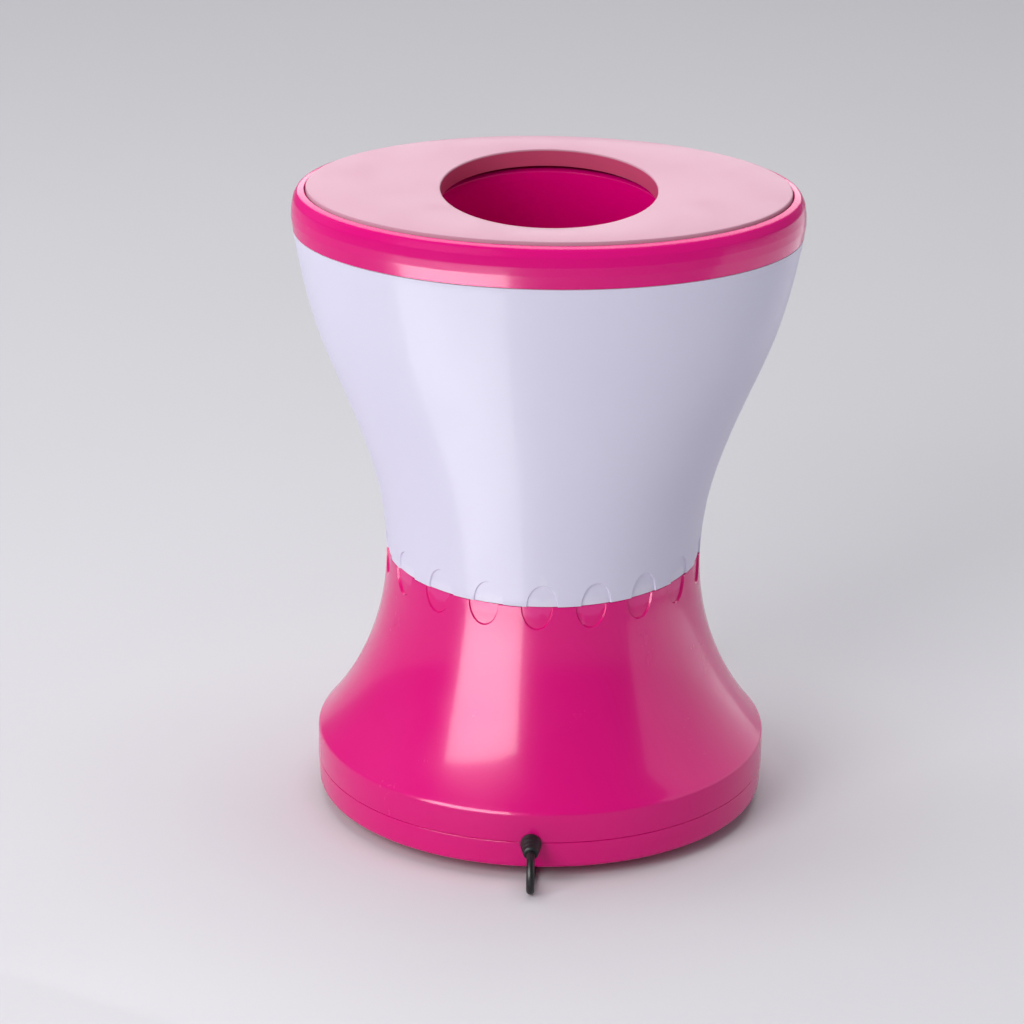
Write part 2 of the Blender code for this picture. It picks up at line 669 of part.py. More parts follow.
def build_spinner(aluminium, steel, dark_plastic):
    """Everything that turns on the shaft: the sugar head above the heater, and the cooling fan."""
    bore = SHAFT_RADIUS + GAP
    inner_wall = HEAD_RADIUS - BAND_WALL
    band_z = HEAD_Z + 5 * MM
    band_top = band_z + SLOT_BAND_HEIGHT
    dish = [
        (bore, HEAD_Z - 6 * MM),
        (5 * MM, HEAD_Z - 6 * MM),
        (6 * MM, HEAD_Z),
        (HEAD_RADIUS - 1 * MM, HEAD_Z),
        (HEAD_RADIUS, HEAD_Z + 1 * MM),
        (HEAD_RADIUS, band_z - GAP),
        (inner_wall - 2 * MM, band_z - GAP),
        (inner_wall - 4 * MM, HEAD_Z + HEAD_FLOOR),
        (7 * MM, HEAD_Z + HEAD_FLOOR),
        (6 * MM, HEAD_Z + 10 * MM),
        (bore, HEAD_Z + 10 * MM),
    ]
    band = [(HEAD_RADIUS, band_z), (HEAD_RADIUS, band_top), (inner_wall, band_top), (inner_wall, band_z)]
    cover_z = band_top + GAP
    cover = [
        (HEAD_RADIUS, cover_z),
        (HEAD_RADIUS, cover_z + 2 * MM),
        (HEAD_RADIUS - 3 * MM, cover_z + 4 * MM),
        (FUNNEL_RADIUS + 6 * MM, cover_z + 4 * MM),
        (FUNNEL_RADIUS, cover_z),
        (FUNNEL_RADIUS, cover_z - 1.6 * MM),
        (FUNNEL_RADIUS + 1.6 * MM, cover_z - 1.6 * MM),
        (FUNNEL_RADIUS + 6.5 * MM, cover_z + 2 * MM),
        (HEAD_RADIUS - 4 * MM, cover_z + 2 * MM),
        (HEAD_RADIUS - 5 * MM, cover_z),
    ]
    nut_z = HEAD_Z + 10 * MM + GAP
    nut = [
        (bore, nut_z),
        (NUT_RADIUS, nut_z),
        (NUT_RADIUS, nut_z + NUT_HEIGHT - 1 * MM),
        (NUT_RADIUS - 1 * MM, nut_z + NUT_HEIGHT),
        (bore, nut_z + NUT_HEIGHT),
    ]
    shaft_top = nut_z + NUT_HEIGHT + 2 * MM
    shaft_low = FAN_Z - 3 * MM
    shaft = [
        (SHAFT_RADIUS - 0.5 * MM, shaft_low),
        (SHAFT_RADIUS, shaft_low + 0.5 * MM),
        (SHAFT_RADIUS, shaft_top - 0.5 * MM),
        (SHAFT_RADIUS - 0.5 * MM, shaft_top),
    ]
    fan_hub = [
        (bore, FAN_Z),
        (FAN_HUB_RADIUS, FAN_Z),
        (FAN_HUB_RADIUS, FAN_Z + FAN_HEIGHT),
        (bore, FAN_Z + FAN_HEIGHT),
    ]
    fan = turned("cooling_fan", fan_hub, dark_plastic)
    blades = bmesh.new()
    blade_start = FAN_HUB_RADIUS - 1.5 * MM
    blade_size = (FAN_RADIUS - blade_start, 1.4 * MM, FAN_HEIGHT)
    pitch = Matrix.Rotation(radians(38), 4, "X")
    for i in range(FAN_BLADES):
        middle = at((FAN_RADIUS + blade_start) / 2, 0, FAN_Z + FAN_HEIGHT / 2)
        turn = Matrix.Rotation(tau * i / FAN_BLADES, 4, "Z")
        box_mesh(blade_size, (0, 0, 0), blades, turn @ middle @ pitch)
    join(fan, "fan_blades", blades)
    pieces = [
        turned("spinner_dish", dish, aluminium, 24),
        turned("spinner_band", band, steel, 24),
        turned("spinner_cover", cover, aluminium, 24),
        turned("spinner_nut", nut, steel, 12),
        turned("drive_shaft", shaft, steel, 16, cycle=False),
        fan,
    ]
    hang_on("spinner_axis", (0, 0, HEAD_Z), pieces)


def build_motor(steel, black, rubber, zinc):
    """The motor hangs under a plate that rests on the pan's posts through rubber grommets."""
    bore = SHAFT_RADIUS + GAP
    collar_top = PLATE_Z + PLATE_THICKNESS + 1.5 * MM
    fixings = round_ring(15 * MM, 2)
    can = [
        (bore, MOTOR_Z),
        (MOTOR_RADIUS - 1.5 * MM, MOTOR_Z),
        (MOTOR_RADIUS, MOTOR_Z + 1.5 * MM),
        (MOTOR_RADIUS, MOTOR_TOP_Z - 2 * MM),
        (MOTOR_RADIUS - 2 * MM, MOTOR_TOP_Z),
        (MOTOR_BOSS_RADIUS, MOTOR_TOP_Z),
        (MOTOR_BOSS_RADIUS, collar_top),
        (bore, collar_top),
    ]
    motor = turned("motor_can", can, zinc, 20)
    hole = SCREW_RADIUS + GAP
    cut(motor, "motor_taps", hole_mesh(hole, MOTOR_TOP_Z - 7 * MM, MOTOR_TOP_Z + 1 * MM, fixings))
    cap = [
        (bore, END_CAP_Z),
        (MOTOR_RADIUS - 5 * MM, END_CAP_Z),
        (MOTOR_RADIUS - 2 * MM, END_CAP_Z + END_CAP_HEIGHT),
        (bore, END_CAP_Z + END_CAP_HEIGHT),
    ]
    turned("motor_end_cap", cap, black, 20)
    plate_outline = [
        (MOTOR_BOSS_RADIUS + GAP, PLATE_Z),
        (PLATE_RADIUS, PLATE_Z),
        (PLATE_RADIUS, PLATE_Z + PLATE_THICKNESS),
        (MOTOR_BOSS_RADIUS + GAP, PLATE_Z + PLATE_THICKNESS),
    ]
    plate = turned("motor_plate", plate_outline, steel, 24)
    posts = round_ring(POST_RING, 3, pi / 2)
    plate_top = PLATE_Z + PLATE_THICKNESS
    holes = hole_mesh(hole, PLATE_Z - 1 * MM, plate_top + 1 * MM, posts + fixings)
    cut(plate, "plate_holes", holes)
    for i, (x, y, _) in enumerate(posts, 1):
        low = PAN_FLOOR_Z + POST_HEIGHT + GAP
        waist = GROMMET_RADIUS - 1.5 * MM
        grommet = [
            (SCREW_RADIUS + GAP, low),
            (GROMMET_RADIUS, low),
            (GROMMET_RADIUS, low + 1.3 * MM),
            (waist, low + 1.7 * MM),
            (waist, low + GROMMET_HEIGHT - 1.7 * MM),
            (GROMMET_RADIUS, low + GROMMET_HEIGHT - 1.3 * MM),
            (GROMMET_RADIUS, low + GROMMET_HEIGHT),
            (SCREW_RADIUS + GAP, low + GROMMET_HEIGHT),
        ]
        turned(f"motor_grommet_{i}", grommet, rubber, 12, place=at(x, y))
        screw(f"plate_screw_{i}", steel, x, y, plate_top + GAP, GROMMET_HEIGHT + 10 * MM)
    for i, (x, y, _) in enumerate(fixings, 1):
        screw(f"motor_screw_{i}", steel, x, y, plate_top + GAP, PLATE_THICKNESS + 6 * MM)


def build_electrics(cream, board_green):
    """The terminal block and the rectifier board on the pan's floor."""
    base = PAN_FLOOR_Z + GAP
    block_middle = (TERMINAL_X, 0, base + TERMINAL_SIZE[2] / 2)
    block = add_object("terminal_block", box_mesh(TERMINAL_SIZE, block_middle), cream)
    places = [(TERMINAL_X, TERMINAL_PITCH * step, 0) for step in (-1, 0, 1)]
    cut(block, "terminal_wells", hole_mesh(TERMINAL_WELL, base + 6 * MM, base + 14 * MM, places))
    board_top = base + BOARD_LIFT + BOARD_SIZE[2]
    board_middle = (BOARD_X, 0, board_top - BOARD_SIZE[2] / 2)
    board = add_object("rectifier_board", box_mesh(BOARD_SIZE, board_middle), board_green)
    parts = bmesh.new()
    leg = BOARD_LIFT + BOARD_SIZE[2] / 2
    for x in (-11 * MM, 11 * MM):
        for y in (-20 * MM, 20 * MM):
            box_mesh((3 * MM, 3 * MM, leg), (BOARD_X + x, y, base + leg / 2), parts)
    box_mesh((7 * MM, 16 * MM, 10 * MM), (BOARD_X - 6 * MM, -9 * MM, board_top + 4.4 * MM), parts)
    capacitor = [(CAPACITOR_RADIUS, CAPACITOR_RADIUS, board_top + z) for z in (-0.6 * MM, 13.4 * MM)]
    loft_mesh(capacitor, 12, False, parts, at(BOARD_X + 5 * MM, 8 * MM))
    join(board, "board_parts", parts)


def build_switch(black, red):
    """The rocker switch at the back, clipped into its window in the skirt."""
    face = skirt_radius(SWITCH_Z) + GAP
    well = (ROCKER_HALF_WIDTH + 0.9 * MM, SWITCH_HEIGHT / 2 - 1.9 * MM)
    bezel = box_mesh((SWITCH_WIDTH, SWITCH_BEZEL, SWITCH_HEIGHT), (0, face + SWITCH_BEZEL / 2, SWITCH_Z))
    housing = add_object("switch_housing", bezel, black)
    body_size = (SWITCH_WIDTH - 3 * MM, SWITCH_BODY_DEPTH, SWITCH_HEIGHT - 2.4 * MM)
    join(housing, "switch_body", box_mesh(body_size, (0, face - SWITCH_BODY_DEPTH / 2 + 0.5 * MM, SWITCH_Z)))
    pocket = (2 * well[0], 14 * MM, 2 * well[1])
    pocket_floor = face - 5.5 * MM
    cut(housing, "switch_well", box_mesh(pocket, (0, pocket_floor + 7 * MM, SWITCH_Z)))
    half = ROCKER_HALF_WIDTH
    pivot = Vector((0, face - 1.2 * MM, SWITCH_Z))
    outline = [
        (-half, 4 * MM),
        (-half, 1.6 * MM),
        (-half * 0.55, -1.4 * MM),
        (half * 0.55, -1.4 * MM),
        (half, 1.6 * MM),
        (half, 4 * MM),
        (0, 3.1 * MM),
    ]
    high = well[1] - GAP
    rocker = add_object("rocker", prism_mesh(outline, -high, high), red)
    rocker.location = pivot
    rocker.rotation_euler = (0, 0, -ROCKER_TILT)


def relief_hole():
    """The round hole for the strain relief, shared by the pan and the skirt."""
    radius = RELIEF_NECK_RADIUS + GAP
    aim = at(RELIEF_X, -BASE_RADIUS, SEAM_Z) @ Matrix.Rotation(pi / 2, 4, "X")
    return loft_mesh([(radius, radius, -6 * MM), (radius, radius, 6 * MM)], 16, False, place=aim)


def relief_route():
    """Stations of the strain relief: (distance out from the wall, drop, slope, radius)."""
    wall = skirt_radius(SEAM_Z)
    stations = [
        (-wall + 9 * MM, 0, 0, CORD_RADIUS + 0.6 * MM),
        (-wall + WALL + 4 * MM, 0, 0, CORD_RADIUS + 1.2 * MM),
        (-wall + WALL + 3.3 * MM, 0, 0, RELIEF_ROOT_RADIUS),
        (-wall + WALL + 1.8 * MM, 0, 0, RELIEF_ROOT_RADIUS),
        (-wall + WALL + 1.7 * MM, 0, 0, RELIEF_NECK_RADIUS),
        (-wall - GAP, 0, 0, RELIEF_NECK_RADIUS),
        (-wall - GAP - 0.1 * MM, 0, 0, RELIEF_ROOT_RADIUS),
        (-wall - 2 * MM, 0, 0, RELIEF_ROOT_RADIUS),
    ]
    start = -wall - 2 * MM
    length = RELIEF_LENGTH - 2 * MM
    y, drop = start, 0.0
    steps = 3
    for i in range(1, steps + 1):
        slope = RELIEF_DROOP * i / steps
        y -= length / steps * cos(slope)
        drop += length / steps * sin(slope)
        radius = RELIEF_ROOT_RADIUS + (RELIEF_TIP_RADIUS - RELIEF_ROOT_RADIUS) * i / steps
        stations.append((y, drop, slope, radius))
    return stations


def build_strain_relief(black):
    """The rubber strain relief, held between pan and skirt, that droops a little towards its tip."""
    bm = bmesh.new()
    loops = []
    for y, drop, slope, radius in relief_route():
        place = at(RELIEF_X, y, SEAM_Z - drop) @ Matrix.Rotation(pi / 2 + slope, 4, "X")
        turns = [tau * i / 12 for i in range(12)]
        loops.append([bm.verts.new(place @ Vector((radius * cos(t), radius * sin(t), 0))) for t in turns])
    for lower, upper in zip(loops, loops[1:]):
        bridge(bm, lower, upper)
    bm.faces.new(loops[0])
    bm.faces.new(loops[-1])
    add_object("strain_relief", bm, black)


def cord_route():
    """The lead's own points: out of the strain relief, round and down, then back under the base."""
    lie = CORD_FLOOR + CORD_RADIUS
    tip_y, tip_drop, slope, _ = relief_route()[-1]
    aim = Vector((0, -cos(slope), -sin(slope)))
    tip = Vector((RELIEF_X, tip_y, SEAM_Z - tip_drop))
    start_point = tip + aim * CORD_LEAD
    tip_y, tip_z = start_point.y, start_point.z
    bend = (tip_z - lie) / (1 + cos(slope))
    centre_y = tip_y + bend * sin(slope)
    centre_z = lie + bend
    points = [tip + aim * GAP, tip + aim * (CORD_LEAD + GAP) / 2]
    sweep = pi - slope
    start = pi / 2 + slope
    for i in range(9):
        angle = start + sweep * i / 8
        points.append(Vector((RELIEF_X, centre_y + bend * cos(angle), centre_z + bend * sin(angle))))
    under = ((-2.5, -0.82), (1.5, -0.51), (2.0, -0.165), (-3.0, 0.206), (-11.0, 0.576), (-18.0, 0.864))
    points += [Vector((x * MM, share * BASE_RADIUS, lie)) for x, share in under]
    end_y = COIL_Y - sqrt(COIL_OUTER**2 - (COIL_TURN_RADIUS - CORD_RADIUS) ** 2) - 2 * MM
    points.append(Vector((COIL_X - COIL_TURN_RADIUS, end_y, lie)))
    return points


def smooth_points(points, spacing):
    """Points at an even spacing on a smooth curve through the route."""
    padded = [2 * points[0] - points[1], *points, 2 * points[-1] - points[-2]]
    fine = []
    for a, b, c, d in zip(padded, padded[1:], padded[2:], padded[3:]):
        for step in range(12):
            t = step / 12
            curve = 2 * b + (c - a) * t + (2 * a - 5 * b + 4 * c - d) * t**2 + (3 * b - a - 3 * c + d) * t**3
            fine.append(curve / 2)
    fine.append(points[-1])
    kept = [fine[0]]
    travelled = 0.0
    for before, after in zip(fine, fine[1:]):
        travelled += (after - before).length
        if travelled >= spacing:
            kept.append(after)
            travelled = 0.0
    if (fine[-1] - kept[-1]).length < spacing / 2:
        kept.pop()
    return [*kept, fine[-1]]


def build_cord(black, tie_material, brass):
    """The mains lead: the loose stretch, the stored coil behind the machine, its tie and the plug."""
    curve = bpy.data.curves.new("cord_tube", "CURVE")
    curve.dimensions = "3D"
    curve.bevel_depth = CORD_RADIUS
    curve.bevel_resolution = 2
    curve.use_fill_caps = True
    spline = curve.splines.new("POLY")
    points = smooth_points(cord_route(), CORD_SPACING)
    spline.points.add(len(points) - 1)
    for slot, point in zip(spline.points, points):
        slot.co = (*point, 1)
    curve.materials.append(black)
    bpy.context.collection.objects.link(bpy.data.objects.new("cord_tube", curve))

    top = COIL_BOTTOM + COIL_HEIGHT
    ring = [(COIL_OUTER, COIL_BOTTOM), (COIL_OUTER, top), (COIL_INNER, top), (COIL_INNER, COIL_BOTTOM)]
    turned("cord_coil", ring, black, 24, place=at(COIL_X, COIL_Y))

    turn = at(COIL_X, COIL_Y) @ Matrix.Rotation(TIE_ANGLE, 4, "Z")
    section = (COIL_OUTER - COIL_INNER + 2.4 * MM, COIL_HEIGHT + 2 * GAP)
    middle = ((COIL_OUTER + COIL_INNER) / 2, 0, COIL_BOTTOM + COIL_HEIGHT / 2)
    wrap = 2 * TIE_THICKNESS
    outer = box_mesh((section[0] + wrap, TIE_WIDTH, section[1] + wrap), middle, place=turn)
    tie = add_object("cord_tie", outer, tie_material, smooth=False)
    cut(tie, "tie_opening", box_mesh((section[0], TIE_WIDTH + 2 * MM, section[1]), middle, place=turn))

    side = COIL_TURN_RADIUS - CORD_RADIUS - 1 * MM
    tail_x = COIL_X + sqrt(COIL_OUTER**2 - side**2) + 2 * GAP
    plug_y = COIL_Y + COIL_TURN_RADIUS
    plug_z = PLUG_HALF_HEIGHT + CORD_FLOOR
    aim = at(tail_x, plug_y, plug_z) @ Matrix.Rotation(pi / 2, 4, "Y")
    rings = [
        (CORD_RADIUS + 0.8 * MM, CORD_RADIUS + 0.8 * MM, 0),
        (CORD_RADIUS + 1.8 * MM, CORD_RADIUS + 1.8 * MM, 12 * MM),
        (PLUG_HALF_HEIGHT - 1.5 * MM, PLUG_HALF_WIDTH - 5 * MM, 18 * MM),
        (PLUG_HALF_HEIGHT, PLUG_HALF_WIDTH, 26 * MM),
        (PLUG_HALF_HEIGHT, PLUG_HALF_WIDTH, PLUG_LENGTH - 1 * MM),
        (PLUG_HALF_HEIGHT - 1 * MM, PLUG_HALF_WIDTH - 1 * MM, PLUG_LENGTH),
    ]
    loft("plug_body", rings, black, 20, cycle=False, place=aim)
    for i, side in enumerate((-1, 1), 1):
        pin = [
            (PIN_RADIUS, PLUG_LENGTH + GAP),
            (PIN_RADIUS, PLUG_LENGTH + PIN_LENGTH - 1.5 * MM),
            (PIN_RADIUS * 0.6, PLUG_LENGTH + PIN_LENGTH),
        ]
        across = at(0, side * PIN_PITCH / 2)
        turned(f"plug_pin_{i}", pin, brass, 12, cycle=False, place=aim @ across)


def main():
    clear_scene()
    hot_pink = make_material("hot pink ABS", (0.55, 0.0, 0.17), 0.28)
    pale_pink = make_material("pale pink ABS", (0.86, 0.55, 0.66), 0.42)
    white = make_material("white ABS", (0.78, 0.77, 0.86), 0.25)
    steel = make_material("plated steel", (0.6, 0.6, 0.62), 0.35, 1.0)
    zinc = make_material("zinc can", (0.5, 0.52, 0.55), 0.4, 1.0)
    aluminium = make_material("spun aluminium", (0.78, 0.79, 0.8), 0.32, 1.0)
    bronze = make_material("sintered bronze", (0.55, 0.36, 0.18), 0.45, 1.0)
    brass = make_material("nickel brass", (0.75, 0.72, 0.62), 0.28, 1.0)
    ceramic = make_material("steatite", (0.85, 0.83, 0.78), 0.55)
    rubber = make_material("black rubber", (0.02, 0.02, 0.022), 0.7)
    black = make_material("black PVC", (0.018, 0.018, 0.02), 0.45)
    red = make_material("red nylon", (0.5, 0.02, 0.02), 0.3)
    cream = make_material("cream nylon", (0.8, 0.76, 0.65), 0.4)
    green = make_material("board laminate", (0.03, 0.22, 0.08), 0.35)

    build_feet(rubber, steel)
    build_pan(hot_pink)
    skirt = build_skirt(hot_pink)
    cup = build_cup(white)
    rim = build_rim(hot_pink)
    lid = build_lid(pale_pink)
    bowl = build_bowl(hot_pink)
    screw_places = build_deck(steel, bronze)
    build_deck_fixings(skirt, screw_places, steel)
    build_heater(steel, ceramic, steel, zinc)
    build_spinner(aluminium, steel, black)
    build_motor(steel, black, rubber, zinc)
    build_electrics(cream, green)
    build_switch(black, red)
    build_strain_relief(black)
    build_cord(black, cream, brass)
    hang_on("cup_axis", (0, 0, WAIST_Z), [cup, rim])
    hang_on("bowl_lift", (0, 0, BOWL_SEAT_Z), [bowl])
    hang_on("lid_lift", (0, 0, LID_SEAT_Z), [lid])


main()
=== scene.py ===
from math import acos, cos, pi, radians, sin, tan, tau

import bpy
from mathutils import Matrix, Vector


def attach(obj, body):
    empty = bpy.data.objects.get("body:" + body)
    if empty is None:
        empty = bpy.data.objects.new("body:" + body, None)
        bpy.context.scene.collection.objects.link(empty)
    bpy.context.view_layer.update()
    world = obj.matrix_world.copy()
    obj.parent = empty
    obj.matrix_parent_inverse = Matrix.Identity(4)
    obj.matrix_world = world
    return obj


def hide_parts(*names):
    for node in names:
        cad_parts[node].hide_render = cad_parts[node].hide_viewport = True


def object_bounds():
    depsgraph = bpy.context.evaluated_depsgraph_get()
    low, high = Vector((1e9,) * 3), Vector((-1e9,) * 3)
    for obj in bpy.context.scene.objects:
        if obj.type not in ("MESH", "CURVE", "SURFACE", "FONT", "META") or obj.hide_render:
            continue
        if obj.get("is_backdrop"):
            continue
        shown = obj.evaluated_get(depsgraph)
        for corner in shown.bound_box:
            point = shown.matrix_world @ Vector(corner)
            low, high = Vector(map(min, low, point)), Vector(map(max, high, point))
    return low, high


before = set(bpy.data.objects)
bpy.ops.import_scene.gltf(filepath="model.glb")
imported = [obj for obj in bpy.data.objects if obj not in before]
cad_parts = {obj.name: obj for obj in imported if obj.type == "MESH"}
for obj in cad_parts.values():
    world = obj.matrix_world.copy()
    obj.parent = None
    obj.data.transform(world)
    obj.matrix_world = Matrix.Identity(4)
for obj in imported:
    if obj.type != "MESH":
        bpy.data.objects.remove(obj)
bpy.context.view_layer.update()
MM = 0.001

# ------------------------------------------------------------------------------
# Camera: a long lens in front of the machine and above it, looking down on the oval lid.
# Its small roll leans the machine's axis a degree to the right.
CAMERA_PLACE = Vector((0, -5.181, 2.3616))
CAMERA_TURN = -0.00334
CAMERA_DIP = 0.40114
CAMERA_ROLL = 0.01527
CAMERA_LENS = 364.05

forward = Vector((sin(CAMERA_TURN) * cos(CAMERA_DIP), cos(CAMERA_TURN) * cos(CAMERA_DIP), -sin(CAMERA_DIP)))
level_right = Vector((cos(CAMERA_TURN), -sin(CAMERA_TURN), 0))
level_up = level_right.cross(forward)
camera_right = level_right * cos(CAMERA_ROLL) + level_up * sin(CAMERA_ROLL)
camera_up = level_up * cos(CAMERA_ROLL) - level_right * sin(CAMERA_ROLL)
bpy.ops.object.camera_add()
camera = bpy.context.object
camera.name = "camera"
camera.data.lens = CAMERA_LENS
camera.data.sensor_width = 36
camera.data.clip_end = 50
aim = Matrix((camera_right, camera_up, -forward)).transposed().to_4x4()
camera.matrix_world = Matrix.Translation(CAMERA_PLACE) @ aim
bpy.context.scene.camera = camera
bpy.context.scene.view_settings.view_transform = "Standard"

# ------------------------------------------------------------------------------
# Mains lead: a round two-core PVC flex, 4.5 mm thick and 1.5 m long. It leaves the strain relief at the
# front, bends down and back under the machine, and its spare length is wound into a coil behind it.
LEAD_RADIUS = 2.25 * MM
SEAM_Z = 22.5
RELIEF_X = -4
COIL_CENTRE = Vector((9.5, 162, 0)) * MM
COIL_FLOOR = 3.6 * MM
COIL_PITCH = 4.5 * MM
COIL_STEPS = 16
LEAD_OUT = (
    (-4, -134.54, 21.44), (-4, -138.2, 20.92), (-4, -141.5, 19.8), (-4, -144.15, 17.55),
    (-4, -145.8, 14.49), (-4, -146.21, 11.03), (-4, -145.32, 7.66), (-4, -143.26, 4.86),
    (-4, -140.32, 3.08), (-4, -136.9, 2.45), (-3.9, -131, 2.38), (-3.4, -118, 2.35),
    (-2.5, -99.6, 2.35), (-0.2, -80, 2.35), (1.5, -62, 2.35), (2.3, -41, 2.35), (2.0, -20, 2.35),
    (0.2, 3, 2.35), (-3, 25, 2.35), (-7, 47, 2.35), (-11, 70, 2.35), (-14.6, 88, 2.35),
    (-17.5, 105, 2.35), (-19.4, 124, 2.35), (-20, 143, 2.6),
)
COIL_TRACKS = ((29.5, 0), (25, 0), (20.5, 0), (20.5, 1), (25, 1), (29.5, 1), (29.5, 2), (25, 2), (25, 2))
LEAD_TAIL = ((14.5, 187.5, 12.5), (20, 189.3, 10.9), (25, 190.9, 8.3), (30, 191.5, 7.0), (34, 191.5, 6.9))


def ease(share):
    """A smooth step from 0 to 1."""
    share = min(max(share, 0), 1)
    return share * share * (3 - 2 * share)


def coil_points():
    """Turns laid side by side in three layers. Each reaches its next track before it climbs."""
    points = []
    for step in range(int(7.25 * COIL_STEPS) + 1):
        turn, share = divmod(step / COIL_STEPS, 1)
        track, layer = COIL_TRACKS[int(turn)]
        next_track, next_layer = COIL_TRACKS[int(turn) + 1]
        radius = (track + (next_track - track) * ease((share - 0.15) / 0.45)) * MM
        height = COIL_FLOOR + COIL_PITCH * (layer + (next_layer - layer) * ease((share - 0.6) / 0.4))
        angle = pi - tau * step / COIL_STEPS
        points.append(COIL_CENTRE + Vector((radius * cos(angle), radius * sin(angle), height)))
    return points


def tube(name, points, thickness, swell=None, rounds=4):
    """A round tube along a smooth line through the points. A list of swell thickens it point by point."""
    curve = bpy.data.curves.new(name, "CURVE")
    curve.dimensions = "3D"
    curve.bevel_depth = thickness
    curve.bevel_resolution = rounds
    curve.resolution_u = 5
    curve.use_fill_caps = True
    spline = curve.splines.new("BEZIER")
    spline.bezier_points.add(len(points) - 1)
    for i, (knot, point) in enumerate(zip(spline.bezier_points, points)):
        knot.co = point
        knot.handle_left_type = knot.handle_right_type = "AUTO"
        knot.radius = swell[i] if swell else 1
    piece = bpy.data.objects.new(name, curve)
    bpy.context.collection.objects.link(piece)
    return piece


class Shade:
    """A value in a material. Sums written on it add Math nodes."""

    def __init__(self, tree, socket):
        self.tree = tree
        self.socket = socket

    def node(self, kind, settings, sockets, result=0):
        """Adds a node: first its settings, then the values or links of its sockets."""
        added = self.tree.nodes.new(kind)
        for name, setting in settings.items():
            setattr(added, name, setting)
        for name, value in sockets.items():
            if isinstance(value, Shade):
                self.tree.links.new(value.socket, added.inputs[name])
            else:
                added.inputs[name].default_value = value
        return Shade(self.tree, added.outputs[result]) if added.outputs else None

    def sum(self, operation, first, second):
        return self.node("ShaderNodeMath", {"operation": operation}, {0: first, 1: second})

    def __add__(self, other):
        return self.sum("ADD", self, other)

    __radd__ = __add__

    def __sub__(self, other):
        return self.sum("SUBTRACT", self, other)

    def __rsub__(self, other):
        return self.sum("SUBTRACT", other, self)

    def __mul__(self, other):
        return self.sum("MULTIPLY", self, other)

    __rmul__ = __mul__

    def __pow__(self, other):
        return self.sum("POWER", self, other)

    def clear(self, low, high):
        """0 below low, 1 above high, and smooth between."""
        settings = {"interpolation_type": "SMOOTHSTEP"}
        return self.node("ShaderNodeMapRange", settings, {"Value": self, "From Min": low, "From Max": high})

    def mixed(self, share, first, second):
        return self.node("ShaderNodeMix", {"data_type": "RGBA"}, {0: share, 6: first, 7: second}, 2)

    def noise(self, scale, detail=2.0, stretch=(1, 1, 1)):
        """Cloudy noise on the piece's own coordinates, with scale in blobs per metre."""
        mapped = self.node("ShaderNodeMapping", {}, {"Vector": self, "Scale": stretch})
        return self.node("ShaderNodeTexNoise", {}, {"Vector": mapped, "Scale": scale, "Detail": detail})

    def bump(self, height, depth, strength=1.0):
        sockets = {"Strength": strength, "Distance": depth, "Height": height}
        return self.node("ShaderNodeBump", {}, sockets)


def start_finish(name):
    """A new material, with the object coordinates that its patterns read."""
    material = bpy.data.materials.new(name + "_finish")
    material.use_nodes = True
    material.node_tree.nodes.clear()
    return material, Shade(material.node_tree, None).node("ShaderNodeTexCoord", {}, {}, "Object")


def end_finish(coords, sockets):
    """Joins the colour, gloss and relief to the material's surface."""
    surface = coords.node("ShaderNodeBsdfPrincipled", {}, sockets)
    coords.node("ShaderNodeOutputMaterial", {}, {"Surface": surface})


# The flex's jacket: black PVC, satin, faintly ribbed by the die, with dust and small scuffs.
black_pvc, coords = start_finish("black_pvc")
haze = coords.noise(60, 3)
speck = coords.noise(1500, 3)
dust = coords.noise(420, 4).clear(0.56, 0.72)
jacket = coords.mixed(haze, (0.005, 0.005, 0.006, 1), (0.01, 0.0095, 0.011, 1))
end_finish(coords, {
    "Base Color": coords.mixed(dust * 0.25, jacket, (0.05, 0.047, 0.046, 1)),
    "Roughness": 0.36 + haze * 0.12 + dust * 0.2,
    "Specular IOR Level": 0.3,
    "Normal": coords.bump(speck * 0.6 + haze, 0.12 * MM, 0.5),
})

lead_points = [Vector(point) * MM for point in LEAD_OUT]
lead_points += coil_points()
lead_points += [Vector(point) * MM for point in LEAD_TAIL]
mains_lead = tube("mains_lead", lead_points, LEAD_RADIUS)
mains_lead.data.materials.append(black_pvc)

# The strain relief: a soft PVC boot moulded on the lead and clamped in a groove between pan and skirt.
# It tapers from its collar to its tip and droops a little. Shallow rings let it flex.
BOOT_STATIONS = (
    (-112.4, 0, 2.2), (-112.9, 0, 2.8), (-114.6, 0, 3.3), (-114.9, 0, 5.2), (-115.4, 0, 5.7),
    (-116.7, 0, 5.7), (-117.0, 0, 3.7), (-118.5, 0, 3.7), (-121.3, 0, 3.7), (-121.65, 0, 5.0),
    (-122.0, 0, 5.6), (-123.2, 0, 5.8), (-124.2, 0.02, 5.75), (-124.9, 0.04, 5.2), (-125.7, 0.08, 5.15),
    (-126.3, 0.12, 5.4), (-127.3, 0.18, 5.25), (-128.0, 0.24, 4.75), (-128.8, 0.31, 4.7),
    (-129.4, 0.37, 4.9), (-130.5, 0.5, 4.7), (-131.2, 0.59, 4.25), (-132.0, 0.69, 4.2),
    (-132.6, 0.77, 4.35), (-133.5, 0.91, 4.15), (-134.0, 0.99, 3.75), (-134.24, 1.02, 3.2),
)
boot_points = [Vector((RELIEF_X, y, SEAM_Z - drop)) * MM for y, drop, _ in BOOT_STATIONS]
strain_boot = tube("strain_boot", boot_points, MM, [radius for _, _, radius in BOOT_STATIONS], 7)
strain_boot.data.materials.append(black_pvc)
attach(strain_boot, "base")
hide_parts("strain_relief")


def select_none():
    bpy.ops.object.select_all(action="DESELECT")


